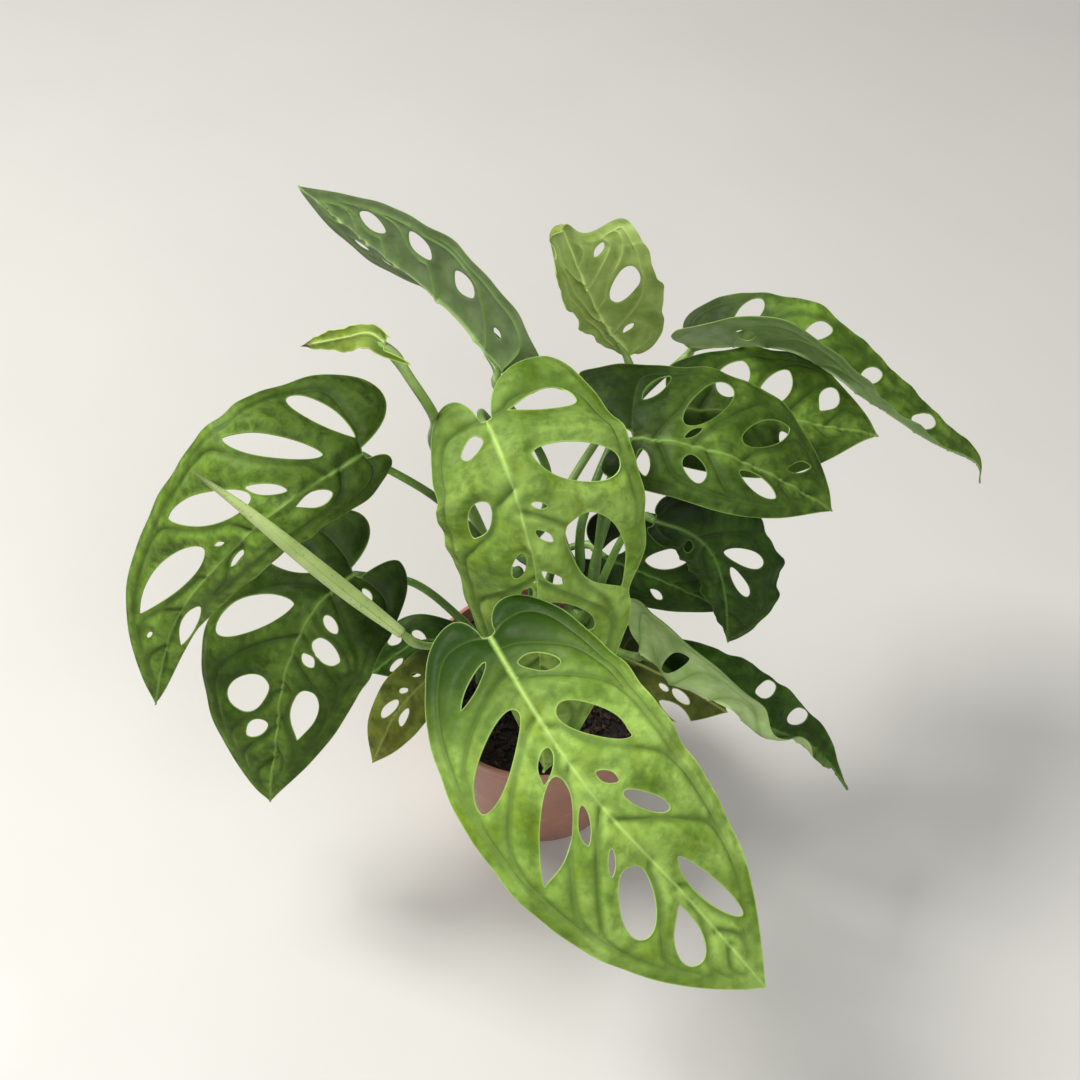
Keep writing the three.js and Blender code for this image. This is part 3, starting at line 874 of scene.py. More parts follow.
@dataclass
class Leaf:
    """One perforated leaf: its midrib, the way it faces, its flat shape, its holes and its stalk."""

    name: str
    green: Green
    rib: list[Point]
    face: tuple[Point, Point]
    halves: tuple[Half, Half]
    droop: Pair
    holes: list[tuple[float, ...]]
    stalk: Stalk
    fold: tuple[Pair, Pair] = ((0, 0), (0, 0))
    wave: float = 0.8
    puff: float = 1.0
    # painted light and shade, in the next four fields: darkening for a whole leaf in shade, darkening for its
    # base lobes turned from the light, lightening for a whole leaf in the light, and darkening for the
    # underside of a leaf in shade
    painted_shade: float = 0.0
    painted_base_shade: float = 0.8
    painted_light: float = 0.0
    gloom: float = 0.0
    scorch: float = 0.0
    frill: tuple[Pair, Pair] = ((0, 30), (0, 30))
    bulge: Pair = (0, 60)
    dent: Point = (0, 0, 1)

    # steps and distances on the flat blade, in millimetres
    PITCH = 1.45
    EDGE_STEP = 1.15
    FINE_STEP = 0.4
    HOLE_STEP = 0.95
    RIM = 0.45
    INSETS = (RIM, 1.5)
    VEIN_SIDE = 0.75
    CLOSEST = 0.6
    OFF_EDGE = 2.1
    OFF_GUIDES = 0.85
    SHAKE = 0.12
    EASE = (-16, -8, 0, 8, 16)

    # thickness and relief, in millimetres
    THICKEST = 2.6
    PLATE = 0.45
    RIB_BODY = 1.5
    RIB_FULL = 1.35
    VEIN_BODY = 0.5
    QUILT = 2.2
    SUNKEN = 0.45
    VALLEY = 1.6
    RAISED = 0.5
    LIP = 0.16
    WAVES = (37, 21)
    SOFT_EDGE = (0.3, 6)
    SHARP = 48

    # how far a vein's line, its groove and its quilting reach, in millimetres
    REACHES = (0.55, 1.4, 4.5)

    # the side veins, in millimetres and degrees
    FEET_ANGLES = (28, 80)
    FIRST_ANGLE = 105
    VEIN_ANGLES = (66, 36)
    BARE_TIP = 30
    LEAST_SPREAD = 12
    SPREAD = 0.13
    NARROW = 16
    BIG_HOLE = 45
    ROWS_APART = 7
    VEINS_APART = 5
    VEIN_STEP = 1.3
    VEIN_STEPS = 110
    MARGIN_GAP = 4.2
    MARGIN_FELT = 16
    TURN = 0.32
    ONWARD = (0.012, 0.0)
    ROOM = 1.7
    RUN = 20

    MARKS = ("rim", "vein", "groove", "halo", "rib", "keel", "glow", "shade", "gloom", "scorch")

    def __post_init__(self) -> None:
        """Works out the midrib curve."""
        self.curve = Curve3(self.rib)
        self.length = self.curve.length
        self.seed = sum(ord(letter) for letter in self.name)
        self.gaps = [Hole(*hole) for hole in self.holes]
        self.size = self.puff * min(1.0, 0.35 + self.length / 200)

    # the bent surface

    def frame_at(self, along: np.ndarray) -> tuple[np.ndarray, ...]:
        """The blade's own directions along its midrib.

        Args:
            along: places along the midrib, in millimetres.

        Returns:
            Points on the midrib, its tangents, the upward normals and the left-hand sides.
        """
        share = np.clip(along / self.length, 0, 1)
        tangent = unit(sum(self.curve.way(share * self.length + shift) for shift in self.EASE))
        first, last = (unit(np.array(face, float)) for face in self.face)
        normal = first + (last - first) * share[:, None]
        normal = unit(normal - tangent * (normal * tangent).sum(1, keepdims=True))
        side = np.cross(normal, tangent)
        beyond = (along - share * self.length)[:, None]
        origin = self.curve.at(share * self.length) + tangent * beyond
        return origin, tangent, normal, side

    def place(self, flat: np.ndarray, up: np.ndarray) -> np.ndarray:
        """Bends flat points into the plant.

        Args:
            flat: places along the midrib and out from it, in millimetres.
            up: heights above the blade, in millimetres.

        Returns:
            Points in the plant's frame, in millimetres.
        """
        along, out = flat[:, 0], flat[:, 1]
        origin, _, normal, side = self.frame_at(along)
        share = np.clip(along / self.length, 0, 1)
        left = out >= 0
        folds = [blend(base, tip, share) for base, tip in self.fold]
        fold = np.radians(np.where(left, folds[0], folds[1]))
        bends = [-math.radians(max(d, 0.01)) / h.width for d, h in zip(self.droop, self.halves)]
        bend = np.where(left, bends[0], bends[1])
        turn = fold + bend * np.abs(out)
        across = (np.sin(turn) - np.sin(fold)) / bend - up * np.sin(turn)
        rise = (np.cos(fold) - np.cos(turn)) / bend + up * np.cos(turn)
        amount, pitch = self.bulge
        hump = hill(np.abs(out) - 7, 7) * np.sin(math.pi * along / pitch) ** 2
        across = np.where(left, across, -across - amount * hump)
        return origin + side * across[:, None] + normal * rise[:, None]

    # the flat shape

    def outer_edge(self, side: int) -> np.ndarray:
        """Draws the outer edge of one half, with its frill, from lobe to tip.

        Args:
            side: 1 for the left half, -1 for the right half.

        Returns:
            Flat points.
        """
        index = 0 if side > 0 else 1
        edge = self.halves[index].outer_edge(self.length)
        amount, pitch = self.frill[index]
        share = np.clip(edge[:, 0] / self.length, 0, 1)
        swing = np.sin(edge[:, 0] * 2 * math.pi / pitch + self.seed)
        swing += 0.5 * np.sin(edge[:, 0] * 2 * math.pi / (0.43 * pitch) + 2 * self.seed)
        edge[:, 1] += amount * swing * np.sqrt(np.sin(math.pi * share).clip(0))
        if side > 0:
            at, depth, reach = self.dent
            edge[:, 1] -= depth * hill(edge[:, 0] - at, reach)
        return edge * np.array([1, side])

    def outline(self) -> np.ndarray:
        """The blade's edge as one loop, left half first."""
        left, right = self.halves
        flip = np.array([1, -1])
        parts = [
            evenly(left.notch_edge()[::-1], self.EDGE_STEP),
            evenly(self.outer_edge(1), self.EDGE_STEP),
            evenly(self.outer_edge(-1)[::-1], self.EDGE_STEP),
            evenly(right.notch_edge() * flip, self.EDGE_STEP),
            np.array([[0, -Half.NOTCH], [0.6, -1.2], [0.6, 1.2], [0, Half.NOTCH]]),
        ]
        return np.vstack([part[:-1] for part in parts])[::-1]

    def hole_edge(self, hole: Hole, number: int) -> np.ndarray:
        """The edge of one hole, made uneven by its number."""
        wobble = np.random.default_rng(self.seed * 31 + number).uniform(-1, 1, 4)
        return evenly(hole.edge(wobble), self.HOLE_STEP)[:-1]

    def in_ring(self, ring: np.ndarray, points: np.ndarray) -> np.ndarray:
        """Finds which points lie inside a closed loop.

        Args:
            ring: the loop.
            points: the points.

        Returns:
            True for each point inside.
        """
        inside = np.zeros(len(points), bool)
        for a, b in zip(ring, np.roll(ring, -1, axis=0)):
            if a[1] == b[1]:
                continue
            crosses = (a[1] > points[:, 1]) != (b[1] > points[:, 1])
            x = a[0] + (points[:, 1] - a[1]) / (b[1] - a[1]) * (b[0] - a[0])
            inside ^= crosses & (points[:, 0] < x)
        return inside

    def on_blade(self, rings: list[np.ndarray], points: np.ndarray) -> np.ndarray:
        """Which points lie on the blade, inside its first ring and outside its holes, the rest."""
        return self.in_ring(rings[0], points) & ~np.any([self.in_ring(r, points) for r in rings[1:]], axis=0)

    # the veins

    def vein_starts(self, side: int) -> list[Pair]:
        """Where the side veins of one half leave the midrib, between its holes.

        Args:
            side: 1 for the left half, -1 for the right half.

        Returns:
            Places along the midrib, each with its angle from the midrib in degrees.
        """
        feet = []
        for hole in self.gaps:
            if hole.side == side and hole.length * hole.width > self.BIG_HOLE:
                angle = np.clip(hole.slant, *self.FEET_ANGLES)
                feet.append(hole.along - abs(hole.out) / math.tan(math.radians(angle)))
        feet = sorted(foot for foot in feet if foot > -8)
        apart = [foot for i, foot in enumerate(feet) if i == 0 or foot - feet[i - 1] > self.ROWS_APART]
        starts = [1.0]
        if apart:
            starts.append(max(4.0, apart[0] - 8))
            starts += [(a + b) / 2 for a, b in zip(apart, apart[1:])]
            starts.append(apart[-1] + 9)
        while starts[-1] < self.length - self.BARE_TIP:
            starts.append(starts[-1] + max(self.LEAST_SPREAD, self.SPREAD * self.length))
        wide = [s for i, s in enumerate(starts) if i == 0 or s - starts[i - 1] > self.VEINS_APART]
        if self.halves[0 if side > 0 else 1].width < self.NARROW:
            wide = wide[::2]
        angles = [blend(*self.VEIN_ANGLES, min(1, start / self.length)) for start in wide]
        return list(zip(wide, [self.FIRST_ANGLE, *angles[1:]]))

    def vein_way(self, start: float, angle: float, side: int, edge: np.ndarray) -> np.ndarray:
        """The way of one side vein: straight out, round the holes, then forward along the margin.

        Args:
            start: its place on the midrib.
            angle: its first angle from the midrib, in degrees.
            side: 1 for the left half, -1 for the right half.
            edge: the outer edge of that half.

        Returns:
            Flat points along the vein.
        """
        keep = self.MARGIN_GAP
        forward = unit(np.gradient(edge, axis=0))
        spot = np.array([start, 0.0])
        heading = np.array([math.cos(math.radians(angle)), side * math.sin(math.radians(angle))])
        way = [spot]
        beside = 0.0
        for _ in range(self.VEIN_STEPS):
            gap, which = nearest(spot[None], edge)
            share = float(smooth_step(self.MARGIN_FELT, keep, gap)[0])
            aside = forward[which[0]] * self.TURN * share
            heading = unit(heading * (1 - self.TURN * share) + aside + np.array(self.ONWARD))
            spot = spot + heading * self.VEIN_STEP
            for hole in self.gaps:
                if hole.side == side:
                    spot = self.push_out(spot, hole)
            gap, which = nearest(spot[None], edge)
            if gap[0] < keep:
                inward = unit(spot - edge[which[0]])
                spot = edge[which[0]] + inward * keep
                beside += self.VEIN_STEP
            way.append(spot)
            if beside > self.RUN or spot[0] > self.length - 8 or spot[1] * side < 0.5:
                break
        return np.array(way)

    def push_out(self, spot: np.ndarray, hole: Hole) -> np.ndarray:
        """Moves a point out of a hole, to stand clear of it.

        Args:
            spot: the point.
            hole: the hole.

        Returns:
            The point, moved if it was too near.
        """
        middle = np.array([hole.along, hole.out])
        reach, breadth = hole.length / 2 + self.ROOM, hole.width / 2 + self.ROOM
        x = float((spot - middle) @ hole.way) / reach
        y = float((spot - middle) @ hole.over) / breadth
        far = math.hypot(x, y)
        if far >= 1 or far < 1e-6:
            return spot
        y_out = math.copysign(math.sqrt(max(0.0, 1 - x * x)), y)
        return middle + hole.way * x * reach + hole.over * y_out * breadth

    def veins(self) -> np.ndarray:
        """All side veins as flat points, with their strength in the third column."""
        found = []
        for side in (1, -1):
            edge = evenly(self.outer_edge(side), 1.5)
            for start, angle in self.vein_starts(side):
                way = self.vein_way(start, angle, side, edge)
                if len(way) < 5:
                    continue
                gone = np.linspace(0, 1, len(way))
                fade = (1 - 0.4 * gone) * (1 - smooth_step(0.75, 1.0, gone))
                found.append(evenly(np.c_[way, fade], 0.65))
        return np.vstack(found)

    # the mesh

    def guides(self, rings: list[np.ndarray], near_edge: np.ndarray, veins: np.ndarray) -> np.ndarray:
        """Sets out the points that give the mesh its edges along the margin, the midrib and the veins.

        Args:
            rings: the outline and the holes.
            near_edge: points close together along them.
            veins: points along the side veins.

        Returns:
            Flat points, none too near another or the edge.
        """
        rows = []
        for inset in self.INSETS:
            for ring in rings:
                over = crosswise(unit(np.roll(ring, -1, axis=0) - np.roll(ring, 1, axis=0)))
                for sign in (1, -1):
                    moved = ring + sign * over * inset
                    rows.append(moved[nearest(moved, near_edge)[0] > inset * 0.82])
        along = np.arange(1.0, self.length - 1.5, self.PITCH)
        thick = self.rib_width(along)
        rows += [np.stack([along, thick * share], 1) for share in (0, 1.0, 1.8, -1.0, -1.8)]
        beside = crosswise(unit(np.gradient(veins, axis=0))) * self.VEIN_SIDE
        points = np.vstack([*rows, veins, veins + beside, veins - beside])
        return self.thin_out(points[nearest(points, near_edge)[0] > self.RIM * 0.8])

    def lattice(self, edge: np.ndarray) -> np.ndarray:
        """Lays an even lattice of slightly shaken points.

        Args:
            edge: the edge of all that it covers.

        Returns:
            Flat points.
        """
        low, high = edge.min(0), edge.max(0)
        rows = []
        for i, v in enumerate(np.arange(low[1], high[1], self.PITCH * math.sqrt(3) / 2)):
            u = np.arange(low[0], high[0], self.PITCH) + (i % 2) * self.PITCH / 2
            rows.append(np.stack([u, np.full(len(u), v)], 1))
        points = np.vstack(rows)
        rng = np.random.default_rng(self.seed)
        return points + rng.uniform(-self.SHAKE, self.SHAKE, points.shape)

    def flat_mesh(self) -> tuple[np.ndarray, np.ndarray, dict[str, np.ndarray]]:
        """Cuts the flat blade into small triangles that follow its edges, midrib and veins.

        Returns:
            Flat points, triangles, and the marks at each point.
        """
        rings = [self.outline()]
        rings += [self.hole_edge(hole, i) for i, hole in enumerate(self.gaps)]
        edge = np.vstack(rings)
        near_edge = np.vstack([evenly(np.vstack([ring, ring[:1]]), self.FINE_STEP) for ring in rings])
        veins = self.veins()
        guides = self.guides(rings, near_edge, veins[:, :2])
        lattice = self.lattice(edge)
        lattice = lattice[nearest(lattice, near_edge)[0] > self.OFF_EDGE]
        lattice = lattice[nearest(lattice, guides)[0] > self.OFF_GUIDES]
        inner = np.vstack([guides, lattice])
        points = np.vstack([edge, inner[self.on_blade(rings, inner)]])
        links = []
        start = 0
        for ring in rings:
            count = len(ring)
            links += [(start + i, start + (i + 1) % count) for i in range(count)]
            start += count
        made = delaunay_2d_cdt([Vector(p) for p in points.tolist()], links, [], 0, 1e-5)
        flat = np.array([list(v) for v in made[0]])
        faces = np.array([face for face in made[2] if len(face) == 3])
        faces = faces[self.on_blade(rings, flat[faces].mean(1))]
        a, b, c = (flat[faces[:, i]] for i in range(3))
        area = (b[:, 0] - a[:, 0]) * (c[:, 1] - a[:, 1]) - (b[:, 1] - a[:, 1]) * (c[:, 0] - a[:, 0])
        faces = np.where((area < 0)[:, None], faces[:, ::-1], faces)
        faces = faces[np.abs(area) > 1e-5]
        return flat, faces, self.marks(flat, near_edge, veins)

    def thin_out(self, points: np.ndarray) -> np.ndarray:
        """Leaves out points that are too near an earlier one.

        Args:
            points: the points.

        Returns:
            Those that are kept.
        """
        kept: dict[tuple[int, int], list[Pair]] = {}
        chosen = []
        around = [(dx, dy) for dx in (-1, 0, 1) for dy in (-1, 0, 1)]
        least = self.CLOSEST**2
        for x, y in points.tolist():
            column, row = int(x // self.CLOSEST), int(y // self.CLOSEST)
            others = [other for dx, dy in around for other in kept.get((column + dx, row + dy), ())]
            if all((u - x) ** 2 + (v - y) ** 2 >= least for u, v in others):
                kept.setdefault((column, row), []).append((x, y))
                chosen.append((x, y))
        return np.array(chosen)

    def rib_width(self, along: np.ndarray) -> np.ndarray:
        """Half the width of the midrib, which narrows to the tip."""
        size = min(1.0, 0.55 + self.length / 400)
        return np.maximum(0.5, size * blend(1.0, 0.3, np.clip(along / self.length, 0, 1) ** 0.8))

    def marks(self, flat: np.ndarray, edge: np.ndarray, veins: np.ndarray) -> dict[str, np.ndarray]:
        """What the materials and the relief need at each point of the flat blade.

        Args:
            flat: the points.
            edge: points along every edge.
            veins: points along the side veins, with their strength.

        Returns:
            Named numbers for each point.
        """
        margin = nearest(flat, edge)[0]
        line, groove, crease = pulls(flat, veins, self.REACHES)
        along, off_rib = flat[:, 0], np.abs(flat[:, 1])
        width = self.rib_width(along)
        half_width = np.where(flat[:, 1] >= 0, self.halves[0].width, self.halves[1].width)
        ahead = smooth_step(-1.5, 0.5, along)
        return {
            "rim": 1 - smooth_step(0.1, self.RIM, margin),
            "margin": margin,
            "vein": line,
            # the groove beside each vein: sunk in the relief, and painted shade in the materials
            "groove": groove,
            "puffed": 1 - crease,
            # painted highlight: paler beside the veins, for the light on the raised blade between them
            "halo": crease,
            "rib": hill(off_rib, width, 4) * ahead,
            "keel": hill(off_rib, 1.5 * width, 4) * ahead,
            "valley": hill(off_rib, 5.0) * ahead,
            "reach": off_rib / half_width,
            # painted light: along the midrib, and over the whole of a leaf in the light
            "glow": np.maximum(self.painted_light, hill(off_rib, 0.3 * half_width)),
            # painted shade: over a whole leaf in shade, and on its base lobes
            "shade": self.painted_shade + self.painted_base_shade * (1 - smooth_step(0.0, 0.34, along / self.length)),
            # painted shade on the underside of a leaf in shade
            "gloom": np.full(len(flat), self.gloom),
            "scorch": self.scorch * smooth_step(0.8, 0.97, along / self.length),
        }

    def relief(self, flat: np.ndarray, mark: dict[str, np.ndarray]) -> np.ndarray:
        """Works out the height of the upper side over the smooth blade.

        Args:
            flat: the flat points.
            mark: the marks at each point.

        Returns:
            Heights, in millimetres.
        """
        inner = smooth_step(*self.SOFT_EDGE, mark["margin"])
        up = self.size * self.QUILT * mark["puffed"] * inner
        up -= self.size * self.SUNKEN * mark["groove"]
        up -= self.size * self.VALLEY * mark["valley"]
        up += self.RAISED * mark["rib"]
        phase = self.seed % 7
        long_wave, short_wave = (flat[:, 0] * 2 * math.pi / pitch for pitch in self.WAVES)
        wave = np.sin(long_wave + phase) + 0.6 * np.sin(short_wave + 2 * phase)
        side = np.where(flat[:, 1] >= 0, 1.0, -0.8)
        up += self.wave * wave * side * np.clip(mark["reach"], 0, 1.2) ** 2
        up += self.LIP * mark["rim"]
        return up

    def build(self) -> bpy.types.Object:
        """Makes the blade with its thickness, veins and thin pale edge."""
        flat, faces, mark = self.flat_mesh()
        points = self.place(flat, self.relief(flat, mark))
        blade = mesh_piece(f"blade_{self.name}", points, faces.tolist())
        mesh = blade.data
        for name in self.MARKS:
            write_mark(blade, name, mark[name])
        corners = np.empty(len(mesh.loops), np.int32)
        mesh.loops.foreach_get("vertex_index", corners)
        uv = mesh.uv_layers.new(name="blade")
        shifted = flat / 100 + np.array([self.seed % 13, self.seed % 5])
        uv.data.foreach_set("uv", shifted[corners].astype(np.float32).ravel())
        body = self.PLATE + self.RIB_BODY * mark["rib"] * self.rib_width(flat[:, 0]) / self.RIB_FULL
        body += self.VEIN_BODY * mark["vein"]
        group = blade.vertex_groups.new(name="thickness")
        for i, share in enumerate(np.clip(body / self.THICKEST, 0, 1).tolist()):
            group.add([i], share, "REPLACE")
        plate = blade.modifiers.new("thickness", "SOLIDIFY")
        plate.thickness = self.THICKEST * MM
        plate.offset = -1
        plate.vertex_group = "thickness"
        plate.material_offset = 1
        plate.material_offset_rim = 2
        for material in self.skins():
            mesh.materials.append(material)
        apply_all(blade)
        smooth(blade, self.SHARP)
        seat(blade, self.green.slot, f"leaf_{self.name}")
        return blade

    def skins(self) -> list[bpy.types.Material]:
        """Upper side, underside and margin, made once for each green."""
        name = self.green.slot
        ready = [bpy.data.materials.get(f"{name}_{part}") for part in ("upper", "underside", "margin")]
        if all(ready):
            return ready
        finish = self.green.value
        return [finish.upper(), finish.lower(), finish.margin()]


# ------------------------------------------------------------------ stems


@dataclass
class Vine:
    """A climbing stem that stands in the bark mix."""

    name: str
    points: list[Point]
    ROOTED = 38.0
    FOOT = 4.2
    TOP = 3.4
    SLIMMER = 0.3
    SWELLING = 0.55
    SWELLING_REACH = 3.0
    RING = 0.6
    RING_REACH = 1.6
    ROUNDED = 5.0

    def __post_init__(self) -> None:
        """Works out the stem's curve above the mix and the whole of it."""
        self.shown = Curve3(self.points)
        x, y, z = self.points[0]
        self.whole = Curve3([(x, y, z - self.ROOTED), *self.points])

    def joint(self, share: float) -> tuple[np.ndarray, np.ndarray, float]:
        """Finds the stem at a leaf joint.

        Args:
            share: how far up its shown length the joint is, from 0 to 1.

        Returns:
            The stem's place, direction and radius there.
        """
        place = np.array([share * self.shown.length])
        buried = (self.ROOTED + share * self.shown.length) / (self.ROOTED + self.shown.length)
        radius = blend(self.FOOT, self.TOP, buried)
        return self.shown.at(place)[0], self.shown.way(place)[0], radius

    def build(self, shares: list[float], skin: bpy.types.Material) -> bpy.types.Object:
        """Draws the stem, thicker at each leaf joint and rounded off at its top.

        Args:
            shares: the places of its leaf joints.
            skin: its material.

        Returns:
            The stem.
        """
        places = np.linspace(0, self.whole.length, 90)
        joints = np.array([self.ROOTED + share * self.shown.length for share in shares])
        gaps = places[:, None] - joints[None, :]
        radii = blend(self.FOOT, self.TOP, places / self.whole.length)
        radii = radii + self.SWELLING * hill(gaps, self.SWELLING_REACH).max(1) - self.SLIMMER
        top = np.clip((self.whole.length - places) / self.ROUNDED, 0.03, 1)
        radii = radii * np.sqrt(1 - (1 - top) ** 2)
        ring = self.RING * hill(np.abs(gaps).min(1), self.RING_REACH)
        stem = Tube(f"vine_stem_{self.name}", self.whole.at(places), radii, ring, 16).build(skin)
        seat(stem, "vine", f"vine_{self.name}")
        return stem


@dataclass
class Petiole:
    """The stalk of one leaf, sheathed at the vine and with a knee under the blade."""

    name: str
    vine: Vine
    stalk: Stalk
    approach: np.ndarray
    into: np.ndarray

    GAP = 0.35
    SOCKET = 4.0
    BASE = 2.3
    TIP = 1.6
    INSIDE = 1.5
    STEP = 2.2
    SHEATH = 1.15
    SHEATH_REACH = 11.0
    KNEE = 0.5
    KNEE_REACH = 4.5
    KNEE_BACK = 7
    RING = 0.45
    RING_REACH = 4.0
    SUNK = 0.42

    def build(self, skin: bpy.types.Material) -> bpy.types.Object:
        """Draws the stalk from inside its vine to inside its blade's midrib.

        Args:
            skin: its material.

        Returns:
            The stalk.
        """
        centre, tangent, radius = self.vine.joint(self.stalk.share)
        bends = np.array(self.stalk.bends, float)
        out = bends[0] - centre
        out = unit(out - tangent * float(out @ tangent))
        start = centre + out * (radius + self.GAP)
        collar = start + out * self.SOCKET
        route = [centre + out * self.INSIDE, start, collar, bends, self.approach, self.into]
        way = Curve3(np.vstack(route), tight=True)
        places = np.linspace(0, way.length, max(24, int(way.length / self.STEP)))
        blade = way.length - float(np.linalg.norm(self.into[-1] - self.approach[-1]))
        from_knee = places - blade + self.KNEE_BACK
        radii = blend(self.BASE, self.TIP, np.clip(places / blade, 0, 1)) * self.stalk.stout
        radii = radii + self.SHEATH * hill(places, self.SHEATH_REACH, 1.5)
        radii = radii + self.KNEE * hill(from_knee, self.KNEE_REACH)
        radii = radii * blend(1.0, self.SUNK, smooth_step(blade - 1.5, way.length, places))
        knee = self.RING * hill(from_knee, self.RING_REACH)
        stem = Tube(f"stalk_{self.name}", way.at(places), radii, knee, 14).build(skin)
        seat(stem, "petiole", f"petiole_{self.name}")
        return stem


@dataclass
class RolledLeaf:
    """The next leaf, still rolled up into a pointed spike."""

    axis: list[Point]
    stalk: Stalk
    base_radius: float = 2.6
    bulk: float = 5.2
    tip_radius: float = 0.45
    turns: float = 1.55
    plate: float = 0.5
    rows: int = 90
    steps: int = 56

    def build(self, green: Green) -> bpy.types.Object:
        """Rolls a thin sheet round the spike's axis, so that its outer edge shows as a long seam.

        Args:
            green: the green whose slot name is passed to seat.

        Returns:
            The rolled leaf.
        """
        curve = Curve3(self.axis)
        places = np.linspace(0, curve.length, self.rows)
        share = places / curve.length
        centre, way = curve.at(places), curve.way(places)
        first = unit(np.cross(way, np.array([0.0, 0.0, 1.0])))
        second = np.cross(way, first)
        profile = bezier(
            [(0, self.base_radius), (0.35, self.bulk), (0.7, 0.76 * self.bulk), (1, self.tip_radius)], 60
        )
        radius = np.interp(share, profile[:, 0], profile[:, 1])
        turn = np.linspace(0, 2 * math.pi * self.turns, self.steps)
        spiral = blend(0.72, 1.0, turn / turn[-1])
        points = []
        for i in range(self.rows):
            lead = 0.9 * share[i] - 0.1
            angle = (turn + lead)[:, None]
            ring = np.cos(angle) * first[i] + np.sin(angle) * second[i]
            points.append(centre[i] + ring * (radius[i] * spiral)[:, None])
        corners = [i * self.steps + j for i in range(self.rows - 1) for j in range(self.steps - 1)]
        faces = [(a, a + 1, a + self.steps + 1, a + self.steps) for a in corners]
        piece = mesh_piece("rolled_leaf", np.vstack(points), faces)
        seam = np.maximum(0.8 * hill(places, 1.2), 0.7 * smooth_step(0.84, 0.98, share))
        write_mark(piece, "joint", np.repeat(seam, self.steps))
        sheet = piece.modifiers.new("sheet", "SOLIDIFY")
        sheet.thickness = self.plate * MM
        sheet.offset = -1
        finish = StemFinish("rolled_leaf_skin", (166, 190, 108), (200, 220, 142), (84, 92, 44))
        piece.data.materials.append(finish.material())
        apply_all(piece)
        face_outward(piece)
        smooth(piece, 50)
        seat(piece, green.slot, "leaf_rolled")
        return piece


# ------------------------------------------------------------------ pot and bark mix


@dataclass
class Pot:
    """The tapered round pot, with a rim band and drain holes."""

    rim_radius: float = 60.0
    base_radius: float = 40.5
    height: float = 91.0
    wall: float = 1.5
    floor: float = 2.0
    band: float = 5.0
    proud: float = 0.8
    drains: int = 6
    drain_radius: float = 4.0
    drain_ring: float = 27.0

    def wall_radius(self, height: float) -> float:
        """Outer radius of the plain wall at a height."""
        return blend(self.base_radius, self.rim_radius - self.proud, height / self.height)

    def build(self) -> bpy.types.Object:
        """Draws the profile up from the base ring by ring, then drills the drain holes."""
        foot = self.height - self.band
        lip = self.wall_radius(foot) + self.proud
        inside = self.wall_radius(self.height) - self.wall
        rings = [(self.base_radius - 0.3, 0.35)]
        rings += [(self.wall_radius(level), level) for level in (1.0, 30, 60, foot - 1.2, foot - 0.8)]
        rings += [(lip - 0.25, foot - 0.05), (lip, foot + 0.25)]
        for back, down in ((0.1, 0.7), (0.25, 0.2), (0.75, 0)):
            rings.append((self.rim_radius - back, self.height - down))
        for out, down in ((0.6, 0), (0.15, 0.25), (-0.05, 0.8)):
            rings.append((inside + out, self.height - down))
        rings += [(self.wall_radius(level) - self.wall, level) for level in (60, 30, self.floor)]
        radius, height = self.base_radius - 0.8, 0.0
        circle = bpy.ops.mesh.primitive_circle_add
        pot = add(circle, "nursery_pot", vertices=160, radius=radius * MM, fill_type="NGON")
        with editing():
            for ring_radius, ring_height in rings:
                raise_ring(ring_height - height, ring_radius / radius, ring_height)
                radius, height = ring_radius, ring_height
        face_outward(pot, 0.001)
        self.drill(pot)
        smooth(pot, 35)
        pot.data.materials.clear()
        pot.data.materials.append(PotFinish().material())
        seat(pot, "pot", "pot")
        return pot

    def drill(self, pot: bpy.types.Object) -> None:
        """Cuts the drain holes through the floor.

        Args:
            pot: the pot.
        """
        for i in range(self.drains):
            turn = 2 * math.pi * i / self.drains
            drill = add(
                bpy.ops.mesh.primitive_cylinder_add,
                "drill",
                vertices=40,
                radius=self.drain_radius * MM,
                depth=4 * self.floor * MM,
                location=(self.drain_ring * MM * math.cos(turn), self.drain_ring * MM * math.sin(turn), 0),
            )
            cut = pot.modifiers.new("drain", "BOOLEAN")
            cut.operation = "DIFFERENCE"
            cut.object = drill
            only(pot)
            bpy.ops.object.modifier_apply(modifier=cut.name)
            bpy.data.objects.remove(drill)


def turn_about(axis: int, angle: float) -> np.ndarray:
    """Writes the matrix of a turn about one axis.

    Args:
        axis: 0, 1 or 2, for x, y or z.
        angle: the turn, in radians.

    Returns:
        The matrix.
    """
    one, two = (axis + 1) % 3, (axis + 2) % 3
    made = np.eye(3)
    made[one, one] = made[two, two] = math.cos(angle)
    made[one, two], made[two, one] = -math.sin(angle), math.sin(angle)
    return made


